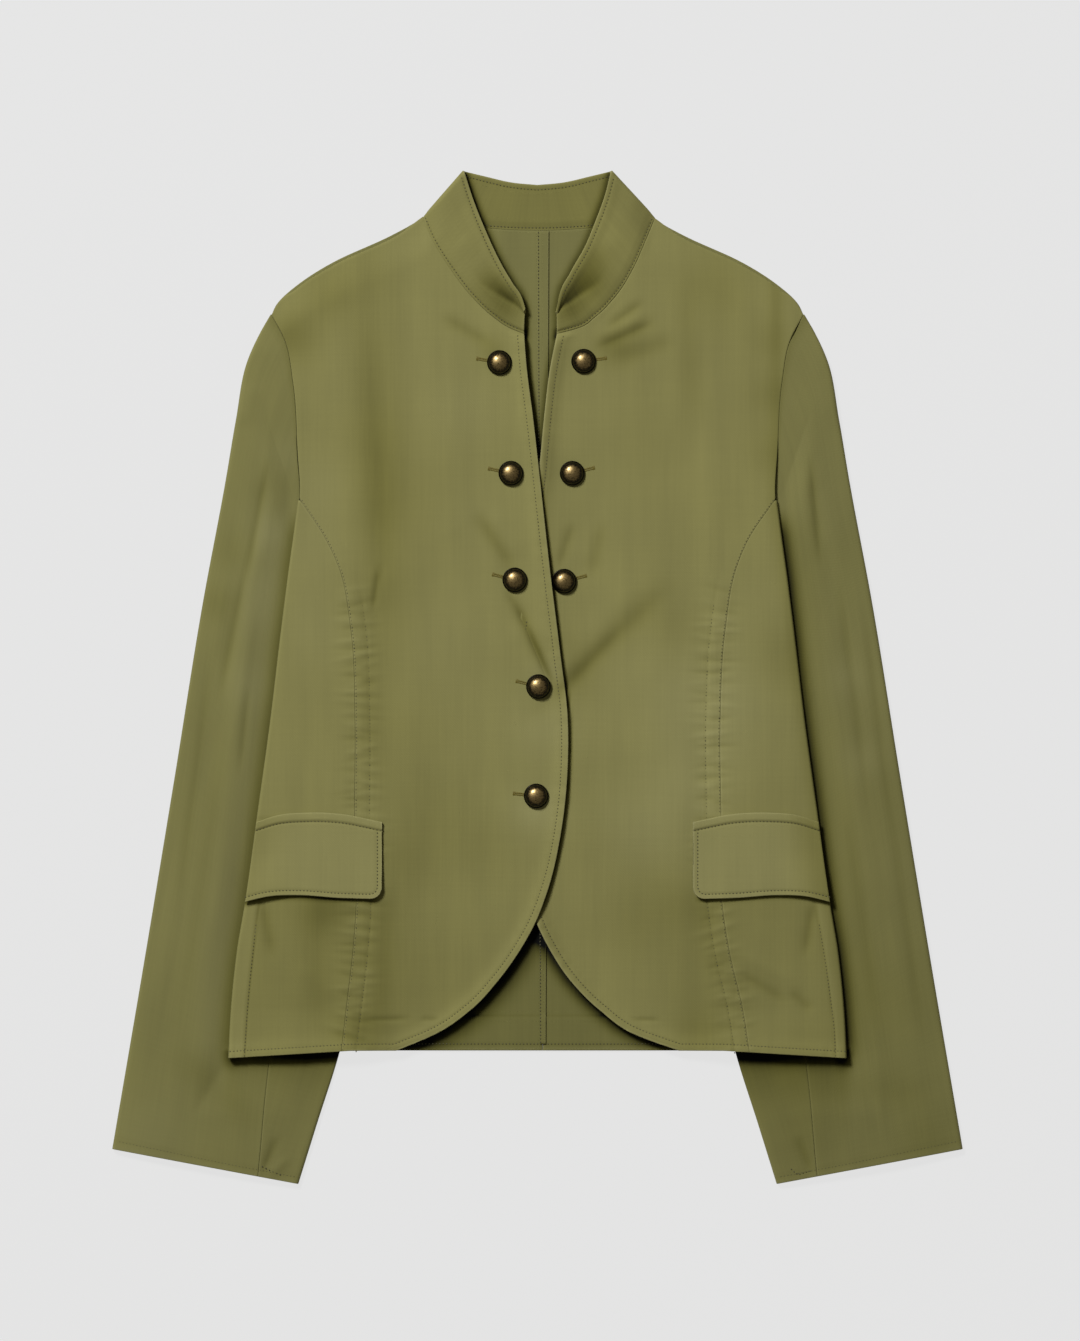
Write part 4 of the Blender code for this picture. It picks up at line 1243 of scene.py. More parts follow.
def seam_behind(y):
    """Edge of the side panel behind the side fold: the underarm first, then the side seam."""
    t = np.clip((SIDE_TOP[1] - y) / (SIDE_TOP[1] - UNDERARM[1]), 0, 1)
    underarm = SIDE_TOP_TURN + (SIDE_SEAM[0].behind - SIDE_TOP_TURN) * t
    return np.where(y > UNDERARM[1], underarm, by_y(SIDE_SEAM, "behind", y))


def front_side(side):
    """Middle points of a side panel, from the princess seam round the side fold, its chart and its tone."""
    y = stretched(SIDE_PANEL_TOP_Y, SIDE_STRETCHES)
    fold = by_y(BODY, "fold", y)[:, None]
    start = fold - by_y(BODY, side_name(side), y)[:, None]
    radius = fold_radius(side, y)[:, None]
    shown = spaced(SIDE_RUNS)[:-1]
    behind = np.linspace(0, 1, SIDE_BEHIND_POINTS)[1:]
    past = np.concatenate((
        start + (radius - start) * shown,
        radius * fold_steps(),
        -radius - (seam_behind(y)[:, None] - SEAM_GAP / 2 - radius) * behind,
    ), axis=1)
    x = side * (fold - np.abs(past))
    rows = np.broadcast_to(y[:, None], past.shape)
    low = rows - hem_drop(x, rows)
    relief, tone = front_relief(side, x, low)
    top = front_height(side, x, low) + relief
    bottom = back_height(x, low)
    rounded = round_off(np.abs(past) / radius)
    z = (top + bottom) / 2 + np.sign(past) * (top - bottom) / 2 * rounded
    chart = np.stack((side * (fold - past), low), axis=-1)
    return np.stack((x, low, z), axis=-1), chart, np.where(past > 0, tone, 0.0)


def back_neck_rise(x):
    """How far the back's neck edge and the shoulder next to it rise above the centre of the neck."""
    out = np.abs(x)
    shoulder = np.maximum(BACK_NECK_RISE - SHOULDER_SLOPE * (out - BACK_NECK_HALF), SHOULDER_STEP)
    return np.minimum(BACK_NECK_RISE * (out / BACK_NECK_HALF) ** 2, shoulder)


def leaf_top(side, y):
    """Top edge of one of the collar's leaves, across from heights on the neck seam."""
    name = side_name(side)
    return np.stack((side * by_y(COLLAR_LEAF, name + "_x", y), by_y(COLLAR_LEAF, name + "_y", y)), axis=1)


@lru_cache(maxsize=None)
def leaf_line(side):
    """Front end and top edge of one of the collar's leaves, from the neck seam up to the peak."""
    y = np.linspace(NECK_FRONT_Y, NECK_Y, LEAF_LINE_POINTS)
    return np.concatenate((neck_line(side)[-1:], leaf_top(side, y)))


def inside_shade(x, y):
    """Painted shadow of the fronts' edges and the collar's leaves on the cloth behind them, and painted shade
    in the hem gap, as a tone below 0.
    """
    low = climb(y, GAP_DOWN)
    tone = GAP_PAINTED_SHADE * low
    for side in (-1, 1):
        edge, _ = line_distance(x, y, front_line(side))
        leaf, _ = line_distance(x, y, leaf_line(side))
        for cast, share in ((EDGE_SHADOW[side], 1 - low), (GAP_SHADOW[side], low)):
            tone = tone + share * cast.tone * bell(edge / cast.reach)
        tone = tone + LEAF_SHADOW[side].tone * bell(leaf / LEAF_SHADOW[side].reach)
    return tone


def back_half(side):
    """Middle points of half of the back, its wall with the turned hem, and its tone."""
    y = stretched(BACK_NECK_Y + SEAM_GAP, BACK_STRETCHES)
    neck = np.clip((y - BACK_NECK_FOOT_Y) / (BACK_NECK_Y - BACK_NECK_FOOT_Y), 0, 1)
    shoulder = by_y(SHOULDER, "x", y + neck * SHOULDER_STEP)
    side_seam = by_y(BODY, "fold", y) - seam_behind(y) - SEAM_GAP / 2
    edge = np.where(y > UNDERARM[1], by_y(ARMHOLE, "back", y) - 2 * SEAM_GAP, side_seam)
    edge = np.where(y > SHOULDER_TIP[1], shoulder, edge)
    centre = side * CENTRE_BACK_X + SEWN_GAP / 2
    out = edge[:, None] + (centre - edge)[:, None] * spaced(BACK_RUNS)
    rows = np.broadcast_to(y[:, None], out.shape)
    x = side * out
    low = rows + back_neck_rise(x) * neck[:, None] - hem_drop(x, rows)
    turned = BACK_HEM_WALL * climb(rows, BACK_HEM_TURN)
    stitch = bell((rows - HEM_Y - EDGE_STITCH) / GROOVE_WIDTH)
    turn = bell((rows - BACK_HEM_TURN_Y + HEM_TURN_BELOW) / HEM_TURN_WIDTH)
    z = back_height(x, rows) + turned / 2
    tone = EDGE_WEAR_AND_HIGHLIGHT * bell((rows - HEM_Y) / BACK_HEM_WEAR_AND_HIGHLIGHT_REACH) - stitch - HEM_TURN_SHADE * turn
    tone = tone + inside_shade(x, low)
    return np.stack((x, low, z), axis=-1), CLOTH_WALL + turned, tone


def back_strip():
    """Middle points of the sewn-down strip along the centre back seam, and its tone."""
    y = np.linspace(BACK_NECK_Y - STRIP_END_GAP, HEM_Y + EDGE_STITCH, STRIP_ROWS)
    across, grid_y = np.meshgrid(np.linspace(-1, 1, STRIP_POINTS), y)
    down = (BACK_NECK_Y - grid_y) / (BACK_NECK_Y - HEM_Y)
    half = STRIP_HALF_WIDTH * (1 - STRIP_TAPER * down)
    grid_x = CENTRE_BACK_X + across * half
    hem = BACK_HEM_WALL * climb(grid_y, BACK_HEM_TURN)
    seam = bell((across - STRIP_STITCH) * half / STRIP_GROOVE)
    tone = EDGE_WEAR_AND_HIGHLIGHT * bell((1 - across) * half / STRIP_GROOVE) - STRIP_SHADE * seam
    tone = tone + inside_shade(grid_x, grid_y)
    return np.stack((grid_x, grid_y, STRIP_LIFT + hem - STRIP_GROOVE_DEPTH * seam), axis=-1), tone


def sleeve_top(x, y, crown=0.0):
    """Middle of the upper wall of a sleeve: free, low at the shoulder tip, pressed under the body."""
    out = np.abs(x)
    below_hem = PAST_HEM * (HEM_Y - HEM_DROP - PRESSED_MARGIN - y)
    above_side = PAST_ARMPIT * (y - SIDE_TOP[1])
    aside = np.maximum(out - by_y(BODY, "fold", y) - PRESSED_MARGIN, np.maximum(above_side, below_hem))
    pressed = 1 - ease(aside / SLEEVE_RAMP)
    rise = SHOULDER_RISE + (FREE_RISE - SHOULDER_RISE) * ease((SHOULDER_TIP[1] - y) / SHOULDER_ROUND)
    rise = rise + folds_height(SLEEVE_FOLDS, x, y) + crown
    return CLOTH_WALL / 2 + rise + (PRESSED_SLEEVE_RISE - rise) * pressed


def sleeve_cap(layer):
    """A sleeve's seam edge from the shoulder tip to the underarm, and how far along it each point is."""
    low = SIDE_TOP[1] if layer > 0 else UNDERARM[1]
    y = np.linspace(SHOULDER_TIP[1], low, CAP_POINTS)
    x = by_y(ARMHOLE, "front" if layer > 0 else "back", y) + SEWN_GAP
    line = np.concatenate((np.stack((x, y), axis=1), [UNDERARM]))
    length = run_length(line)
    return line, length / length[-1]


def sleeve_point(side, layer, across, along):
    """Points on a flattened sleeve: across 0 at the outer fold and 1 at the inner, along from cap to cuff."""
    outer = path(SLEEVE_OUTER, along)
    inner = path(SLEEVE_INNER, along)
    width = np.linalg.norm(inner - outer, axis=-1)
    line, share = sleeve_cap(layer)
    cap = np.stack((np.interp(across, share, line[:, 0]), np.interp(across, share, line[:, 1])), axis=-1)
    tip = np.array(SLEEVE_OUTER[0])
    pit = np.array(SLEEVE_INNER[0])
    cuff_outer = np.array(SLEEVE_OUTER[-1])
    cuff_inner = np.array(SLEEVE_INNER[-1])
    u = across[..., None]
    v = along[..., None]
    cuff = cuff_outer + (cuff_inner - cuff_outer) * u
    corners = (1 - v) * ((1 - u) * tip + u * pit) + v * cuff
    flat = (1 - u) * outer + u * inner + (1 - v) * cap + v * cuff - corners
    x = side * flat[..., 0]
    y = flat[..., 1]
    crown = SLEEVE_CROWN * np.sin(math.pi * np.clip(across, 0, 1)) * ease(along / SLEEVE_CROWN_RUN)
    if layer > 0:
        crown = crown + folds_height(SLEEVE_CREASES, x, y)
        crown = crown + bpy.context.scene.jacket_cloth.unevenness / MM * ripple(x, y, SLEEVE_WAVES, side)
        to_cuff = (1 - along) * SLEEVE_LENGTH
        crown = crown - GROOVE_DEPTH * bell((to_cuff - CUFF_STITCH) / GROOVE_WIDTH)
    top = sleeve_top(x, y, crown)
    half = (top - CLOTH_WALL / 2) / 2
    edge = np.minimum(across, 1 - across) * width
    z = CLOTH_WALL / 2 + half + layer * half * round_off(edge / half)
    return np.stack((x, y, z), axis=-1)


def sleeve_half(side, part):
    """Middle points of a sleeve's upper or under piece, wrapped round one fold, its chart and its tone."""
    along = np.linspace(0, 1, SLEEVE_ROWS) ** SLEEVE_CROWDING
    outer = path(SLEEVE_OUTER, along)
    inner = path(SLEEVE_INNER, along)
    width = np.linalg.norm(inner - outer, axis=1)[:, None]
    seam = smooth(column(SLEEVE_SEAM, "along"), column(SLEEVE_SEAM, "across"), along)[:, None]
    gap = SEWN_GAP / 2 / width
    behind = SLEEVE_BACK_SEAM / width
    fold = outer if part == "upper" else inner
    radius = (sleeve_top(side * fold[:, 0], fold[:, 1])[:, None] - CLOTH_WALL / 2) / 2 / width
    turn = radius * fold_steps()
    if part == "upper":
        under = behind - gap + (radius - behind + gap) * np.linspace(0, 1, UPPER_BEHIND_POINTS)[:-1]
        over = radius + (seam - gap - radius) * spaced(UPPER_RUNS)[1:]
        signed = np.concatenate((-under, -turn, over), axis=1)
        across = np.abs(signed)
    else:
        over = 1 - seam - gap + (radius - 1 + seam + gap) * spaced(UNDER_RUNS)[:-1]
        under = radius + (1 - behind - gap - radius) * np.linspace(0, 1, UNDER_BEHIND_POINTS)[1:]
        signed = np.concatenate((over, turn, -under), axis=1)
        across = 1 - np.abs(signed)
    rows = np.broadcast_to(along[:, None], across.shape)
    upper = sleeve_point(side, 1, across, rows)
    lower = sleeve_point(side, -1, across, rows)
    sheet = np.where((signed >= 0)[..., None], upper, lower)
    chart = np.stack((side * signed * width, rows * SLEEVE_LENGTH), axis=-1)
    to_cuff = (1 - rows) * SLEEVE_LENGTH
    tone = EDGE_WEAR_AND_HIGHLIGHT * bell(to_cuff / EDGE_WEAR_AND_HIGHLIGHT_REACH) - CUFF_SHADE * bell((to_cuff - CUFF_STITCH) / GROOVE_WIDTH)
    tone = tone + SLEEVE_SEAM_WEAR_AND_HIGHLIGHT * bell((across - seam) * width / SLEEVE_SEAM_WEAR_AND_HIGHLIGHT_REACH)
    tone = tone - ARMHOLE_SHADE * bell(rows * SLEEVE_LENGTH / ARMHOLE_SHADE_REACH)
    x, y = sheet[..., 0], sheet[..., 1]
    tone = tone + (folds_shade(SLEEVE_CREASES, x, y) + sleeve_shadow(side, x, y)) * (signed >= 0)
    return sheet, chart, tone


def sleeve_shadow(side, x, y):
    """Tone of a sleeve's upper side: the painted shadows of the body's side and hem on it, the painted band
    beside the body, and its own patches of painted light and shade.
    """
    out = np.abs(x) - by_y(BODY, "fold", y)
    beside = BODY_SHADOW[side].tone * bell(out / BODY_SHADOW[side].reach)
    clear = SIDE_LIGHT_AND_SHADE_BAND[side].tone * bell((out - SIDE_BAND_OUT) / SIDE_LIGHT_AND_SHADE_BAND[side].reach)
    tone = (beside + clear) * (climb(y, SIDE_SHADOW_TOP) * climb(y, SIDE_SHADOW_FOOT))
    below = HEM_Y - hem_drop(x, HEM_Y) - y
    near = 1 - HEM_SHADOW_LOSS * climb(np.abs(x), HEM_SHADOW_OUT)
    under = climb(out, HEM_SHADOW_SIDE) * (below > -HEM_SHADOW_UNDER)
    for cast in HEM_SHADOW[side]:
        tone = tone + cast.tone * bell(below / cast.reach) * near * under
    return tone + patches(SLEEVE_LIGHT_AND_SHADE_PATCHES, x, y)


def band_points(neck, top, rows):
    """Rows across a band from its neck edge, just clear of the seam, to its top edge."""
    reach = top - neck
    start = neck + SEAM_GAP / 2 * unit(reach)
    return start[:, None, :] + (top - start)[:, None, :] * rows[None, :, None]


def leaf_height(side, x, y, rows, share):
    """Height of a leaf of the collar by its rows and by the share of its way to the peak, and its valley."""
    roll = 1 - climb(share, COLLAR_ROLL)
    foot = np.maximum(VALLEY_FOOT - VALLEY_FOOT_FALL * share, VALLEY_FOOT_LEAST)
    valley = roll * climb(rows - foot, VALLEY_IN) * (1 - climb(rows, VALLEY_OUT))
    lip = COLLAR_LIP * (COLLAR_LIP_LEAST + (1 - COLLAR_LIP_LEAST) * roll) * climb(rows, COLLAR_LIP_UP)
    at_foot = front_height(side, x, y)
    level = front_height(side, x, np.minimum(y, COLLAR_LEVEL_Y))
    high = at_foot + (level - at_foot) * ease(rows / COLLAR_LEVEL_SHARE) + (DOUBLED_WALL - CLOTH_WALL) / 2
    high = high + COLLAR_BULGE * np.sin(math.pi * rows) + COLLAR_TOP_RISE * rows
    high = high + folds_height(COLLAR_CREASES, x, y) + lip - COLLAR_VALLEY * valley
    return high + COLLAR_WAVE * ripple(x, y, COLLAR_WAVES, side), valley


def collar_half(side, rows):
    """Middle points, wall and tone of half the collar, from its front end round the peak to the back."""
    angle = np.linspace(math.pi / 2, 0, PEAK_POINTS)
    fold_y = NECK_Y - COLLAR_FOLD * (1 - np.cos(angle))
    line = neck_line(side)[::-1]
    clear = np.interp(NECK_Y - COLLAR_FOLD_CLEAR, line[:, 1], run_length(line))
    at = np.linspace(0, 1, LEAF_POINTS) * clear
    y = np.concatenate((np.interp(at, run_length(line), line[:, 1]), fold_y))
    neck = np.stack((side * by_y(NECK, side_name(side), y), y), axis=1)
    leaf = band_points(neck, leaf_top(side, y), rows)
    leaf_turn = np.concatenate((np.ones(len(at)), np.sin(angle)))

    neck_x = column(COLLAR_BACK, "neck_x")
    back_angle = angle[-2::-1]
    fold_x = BACK_NECK_HALF - COLLAR_BACK_FOLD * (1 - np.cos(back_angle))
    level_x = np.linspace(BACK_NECK_HALF - 2 * COLLAR_BACK_FOLD, 0, COLLAR_BACK_POINTS)
    x = np.concatenate((fold_x, level_x))
    top_x = smooth(neck_x, column(COLLAR_BACK, "top_x"), x)
    top_y = smooth(neck_x, column(COLLAR_BACK, "top_y"), x)
    neck = np.stack((side * x, BACK_NECK_Y + back_neck_rise(x)), axis=1)
    back = band_points(neck, np.stack((side * top_x, top_y), axis=1), rows)
    back_turn = np.concatenate((np.sin(back_angle), np.ones(len(level_x))))

    share = np.concatenate((at / at[-1], np.ones(len(angle))))[:, None]
    high, valley = leaf_height(side, leaf[..., 0], leaf[..., 1], rows, share)
    thin = COLLAR_THIN * (1 - ease(rows / COLLAR_THIN_SHARE))
    high = high - thin / 2
    low = (DOUBLED_WALL - thin) / 2
    middle = (high + low) / 2
    leaf_z = middle + (high - middle) * leaf_turn[:, None]
    back_z = middle[-1] + (low - middle[-1]) * back_turn[:, None]
    flat = np.concatenate((leaf, back))
    points = np.concatenate((flat, np.concatenate((leaf_z, back_z))[..., None]), axis=-1)
    wall = np.broadcast_to(DOUBLED_WALL - thin, flat.shape[:2])
    # Painted shade on the leaves, in their valley and in patches; inside the collar, painted shadow of the
    # leaves and painted shade.
    hollow = LEAF_PAINTED_SHADE[side] - COLLAR_SHADE * valley + patches(COLLAR_SHADE_PATCHES, leaf[..., 0], leaf[..., 1])
    inside = (inside_shade(back[..., 0], back[..., 1]) - INSIDE_SHADE) * back_turn[:, None]
    return points, wall, np.concatenate((hollow, inside))


def mirrored(halves):
    """Joins the right and left halves of a band at its centre."""
    return np.concatenate((halves[0], halves[1][-2::-1]))


def collar_band():
    """Middle points of the whole collar, its wall, its chart and its tone."""
    rows = spaced(COLLAR_RUNS)
    band, wall, shade = (mirrored(halves) for halves in zip(collar_half(-1, rows), collar_half(1, rows)))
    height = np.linalg.norm(band[:, -1] - band[:, 0], axis=1)[:, None]
    from_neck = rows * height
    from_top = (1 - rows) * height
    along = run_length(band[:, len(rows) // 2])[:, None]
    to_end = np.minimum(along, along[-1] - along)
    on_leaf = band[:, :1, 2] > LEAF_LEVEL
    facing_up = np.where(on_leaf, 1.0, INSIDE_SEWING)
    sewn = bell((from_neck - NECK_STITCH) / GROOVE_WIDTH) * facing_up
    sewn = sewn + bell((from_top - COLLAR_STITCH) / GROOVE_WIDTH)
    band[..., 2] -= GROOVE_DEPTH * sewn * facing_up
    tone = EDGE_WEAR_AND_HIGHLIGHT * (bell(from_top / EDGE_WEAR_AND_HIGHLIGHT_REACH) + bell(to_end / EDGE_WEAR_AND_HIGHLIGHT_REACH)) - sewn + shade
    tone = tone + COLLAR_NECK_PAINTED_LIGHT * bell(from_neck / EDGE_WEAR_AND_HIGHLIGHT_REACH) * ~on_leaf
    chart = np.stack(np.broadcast_arrays(along, from_neck), axis=-1)
    return band, wall, chart, tone


def flap_sheet(side):
    """Middle points of a pocket flap, its wall with the raised ridge, and its tone."""
    inner, outer = FLAP[0].x, FLAP[-1].x
    corner = inner + FLAP_CORNER * (1 - np.cos(np.linspace(0, math.pi / 2, FLAP_CORNER_POINTS)))
    steps = np.concatenate((corner, np.linspace(inner + FLAP_CORNER, outer, FLAP_POINTS)[1:]))
    top = smooth(column(FLAP, "x"), column(FLAP, "top"), steps)
    bottom = smooth(column(FLAP, "x"), column(FLAP, "bottom"), steps)
    bottom = bottom + FLAP_CORNER * (1 - round_off((steps - inner) / FLAP_CORNER))
    y = top + (bottom - top) * spaced(FLAP_RUNS)[:, None]
    share = (steps - inner) / (outer - inner)
    x = side * (inner + (by_y(BODY, "fold", y) + FLAP_OVERHANG - inner) * share)
    inset = top - y
    ridge = FLAP_RIDGE * (1 - climb(inset, FLAP_RIDGE_FOOT))
    edge, _ = line_distance(x, y, flap_outline(x, y))
    sewn = bell((edge - FLAP_STITCH) / GROOVE_WIDTH) * climb(inset, FLAP_SEWN)
    under_ridge = bell((inset - FLAP_RIDGE_WIDTH - FLAP_RIDGE_STITCH) / GROOVE_WIDTH)
    lift = CLOTH_WALL / 2 + SEAM_GAP + (DOUBLED_WALL + ridge) / 2
    z = front_height(side, x, y) + lift - GROOVE_DEPTH * (sewn + under_ridge)
    ends = FLAP_MIDDLE_LIFT + FLAP_ENDS_LIFT * (2 * share - 1) ** 2
    z = z + FLAP_LIFT * climb(inset, FLAP_LIFT_DOWN) * (ends + FLAP_WAVE * ripple(x, y, FLAP_WAVES, side))
    at_corner = bell((np.abs(x) - FLAP_CORNER_X) / FLAP_CORNER_WIDTH)
    z = z + FLAP_CORNER_LIFT * climb(inset, FLAP_CORNER_DOWN) * at_corner
    worn_and_lit = bell(edge / EDGE_WEAR_AND_HIGHLIGHT_REACH) + FLAP_TOP_WEAR_AND_HIGHLIGHT * bell(inset / FLAP_TOP_WEAR_AND_HIGHLIGHT_REACH)
    tone = FLAP_PAINTED_LIGHT[side] + EDGE_WEAR_AND_HIGHLIGHT * worn_and_lit - SEWN_SHADE * sewn - FLAP_RIDGE_SHADE * under_ridge
    tone = tone - FLAP_END_SHADE[side] * bell((1 - share) / FLAP_END_REACH)
    return np.stack((x, y, z), axis=-1), DOUBLED_WALL + ridge, tone


def flap_outline(x, y):
    """Inner edge and bottom edge of a flap's grid, as one line."""
    down = np.stack((x[:, 0], y[:, 0]), axis=1)
    out = np.stack((x[-1], y[-1]), axis=1)
    return np.concatenate((down, out[1:]))


def resample(line, step):
    """A line's points at even steps of about the given length."""
    length = run_length(line)
    count = max(2, int(length[-1] / step) + 1)
    at = np.linspace(0, length[-1], count)
    return np.stack([np.interp(at, length, line[:, k]) for k in range(line.shape[1])], axis=1)


def spindles(centre, ahead, length, width):
    """Points and faces of many short threads, each a closed spindle that dips into the cloth at its ends."""
    side = unit(np.cross(UP, ahead))
    up = np.cross(ahead, side)
    turn = np.arange(THREAD_SIDES) * 2 * math.pi / THREAD_SIDES
    rings = []
    for station in THREAD_STATIONS:
        middle = centre + ahead * (station.along * length)[:, None] + up * (station.lift * width)
        radius = station.radius * width / 2
        around = side[:, None] * np.cos(turn)[:, None] + up[:, None] * np.sin(turn)[:, None]
        rings.append(middle[:, None] + radius * around)
    points = np.stack(rings, axis=1).reshape(-1, 3)
    one = []
    for k in range(len(THREAD_STATIONS) - 1):
        for j in range(THREAD_SIDES):
            a = k * THREAD_SIDES + j
            b = k * THREAD_SIDES + (j + 1) % THREAD_SIDES
            one.append((a, b, b + THREAD_SIDES, a + THREAD_SIDES))
    last = (len(THREAD_STATIONS) - 1) * THREAD_SIDES
    one.append(tuple(reversed(range(THREAD_SIDES))))
    one.append(tuple(range(last, last + THREAD_SIDES)))
    size = len(THREAD_STATIONS) * THREAD_SIDES
    faces = [tuple(k * size + v for v in face) for k in range(len(centre)) for face in one]
    return points, faces


def sew(name, runs, material, slot):
    """Rows of stitches along lines on the cloth's surface, as one joined piece."""
    sewing = bpy.context.scene.jacket_sewing
    length = sewing.stitch_length / MM
    pitch = length + sewing.stitch_gap / MM
    centres = []
    heads = []
    for run in runs:
        ends = resample(run, pitch)
        centres.append((ends[1:] + ends[:-1]) / 2)
        heads.append(unit(np.diff(ends, axis=0)))
    centre = np.concatenate(centres)
    lengths = np.full(len(centre), length)
    points, faces = spindles(centre, np.concatenate(heads), lengths, sewing.thread_width / MM)
    return dress(mesh_object(name, points, faces, material), slot)


def on_front(side, line):
    """A line on the floor lifted to the top of a front."""
    x, y = line[:, 0], line[:, 1]
    return np.stack((x, y, front_surface(side, x, y) + CLOTH_WALL / 2), axis=1)


def front_sewing(side):
    """Lines of stitches on a front: round its edge, on the side seam, and on and beside the princess seam."""
    edge = resample(offset_line(front_line(side), -side * EDGE_STITCH), EDGE_SEWING_STEP)
    low = side_line(side)
    seam = offset_line(princess_line(side), side * PRINCESS_STITCH)
    beside = princess_sewing(side)
    runs = [on_front(side, line) for line in (edge, low[low[:, 1] < SIDE_SEWN_TOP_Y])]
    for line in (seam, beside[beside[:, 1] < PUCKER_TOP_Y]):
        runs.append(on_front(side, line) - (0.0, 0.0, PRINCESS_SUNK))
    return runs


def collar_sewing(band, wall):
    """Lines of stitches on the collar's upper side: above the neck seam and inside the top edge."""
    rows = spaced(COLLAR_RUNS)
    height = np.linalg.norm(band[:, -1] - band[:, 0], axis=1)
    lines = []
    for share in (NECK_STITCH / height, 1 - COLLAR_STITCH / height):
        line = np.array([[np.interp(at, rows, col[:, k]) for k in range(3)] for at, col in zip(share, band)])
        line[:, 2] += [np.interp(at, rows, thick) / 2 for at, thick in zip(share, wall)]
        lines.append(line[COLLAR_END_POINTS:-COLLAR_END_POINTS])
    return lines


def flap_sewing(side, middle, wall):
    """Lines of stitches on a flap: under its ridge, down its inner edge and along its bottom."""
    top = middle[..., 2] + wall / 2
    x, y = middle[..., 0], middle[..., 1]
    inset = y[0] - y
    ridge = np.array([
        [np.interp(FLAP_RIDGE_WIDTH + FLAP_RIDGE_STITCH, inset[:, j], grid[:, j]) for grid in (x, y, top)]
        for j in range(1, x.shape[1])
    ])
    edge = offset_line(flap_outline(x, y), -side * FLAP_STITCH)
    edge = resample(edge[edge[:, 1] < y[0].min() - FLAP_RIDGE_WIDTH - 1], FLAP_SEWING_STEP)
    near = [np.argmin((x - px) ** 2 + (y - py) ** 2) for px, py in edge]
    return [ridge, np.column_stack((edge, top.reshape(-1)[near]))]


def buttonhole(button):
    """Threads of one buttonhole: two whipped sides of the slit and a bar across its outer end."""
    tilt = math.radians(button.tilt)
    ahead = np.array([button.side * math.cos(tilt), math.sin(tilt)])
    across = np.array([-ahead[1], ahead[0]])
    at = np.arange(BUTTONHOLE_START, BUTTONHOLE_END, BUTTONHOLE_PITCH)
    start = np.array([button.x, button.y])
    slit = start + at[:, None] * ahead
    places = [slit + BUTTONHOLE_SIDE * across, slit - BUTTONHOLE_SIDE * across]
    bar = start + (BUTTONHOLE_END + BUTTONHOLE_PITCH * np.arange(BAR_THREADS))[:, None] * ahead
    place = np.concatenate((*places, bar))
    length = np.concatenate((np.full(2 * len(at), 2 * BUTTONHOLE_SIDE), np.full(BAR_THREADS, BAR_LENGTH)))
    z = front_surface(button.side, place[:, 0], place[:, 1]) + CLOTH_WALL / 2
    head = np.tile(np.append(across, 0.0), (len(place), 1))
    return np.column_stack((place, z)), head, length


def new_material(name):
    """A node material with only its shader and output, and the shader."""
    material = bpy.data.materials.new(name)
    material.use_nodes = True
    return material, material.node_tree.nodes["Principled BSDF"]


def set_values(node, **values):
    """Sets a node's properties and, by input name, its values."""
    for key, value in values.items():
        if hasattr(node, key):
            setattr(node, key, value)
        else:
            node.inputs[key.replace("_", " ")].default_value = value


def add_node(material, kind, **values):
    """A new node with the given values."""
    made = material.node_tree.nodes.new(kind)
    set_values(made, **values)
    return made


def join(material, source, target):
    """Joins one node's output socket to another's input socket."""
    material.node_tree.links.new(source, target)


def sum_of(material, terms, start):
    """Adds weighted value sockets to a start value and returns the last output."""
    total = None
    for socket, weight in terms:
        step = add_node(material, "ShaderNodeMath", operation="MULTIPLY_ADD")
        join(material, socket, step.inputs[0])
        step.inputs[1].default_value = weight
        if total is None:
            step.inputs[2].default_value = start
        else:
            join(material, total, step.inputs[2])
        total = step.outputs[0]
    return total


def cloth_noise(material, chart, scale, detail):
    """Noise on the flat cloth, stretched along either thread by its scale."""
    place = add_node(material, "ShaderNodeMapping", vector_type="POINT", Scale=scale)
    join(material, chart, place.inputs["Vector"])
    noise = add_node(material, "ShaderNodeTexNoise", noise_dimensions="2D",
                     Scale=1.0, Detail=detail, Roughness=0.55)
    join(material, place.outputs["Vector"], noise.inputs["Vector"])
    return noise.outputs["Fac"]


def tinted(material, shader, colour, bright):
    """The node that gives a shader its colour, made lighter or darker by a socket."""
    tint = add_node(material, "ShaderNodeHueSaturation", Color=(*colour, 1.0))
    join(material, bright, tint.inputs["Value"])
    join(material, tint.outputs["Color"], shader.inputs["Base Color"])
    return tint


def roughen(material, shader, height, **values):
    """Gives a shader fine relief from a height socket."""
    bump = add_node(material, "ShaderNodeBump", **values)
    join(material, height, bump.inputs["Height"])
    join(material, bump.outputs["Normal"], shader.inputs["Normal"])


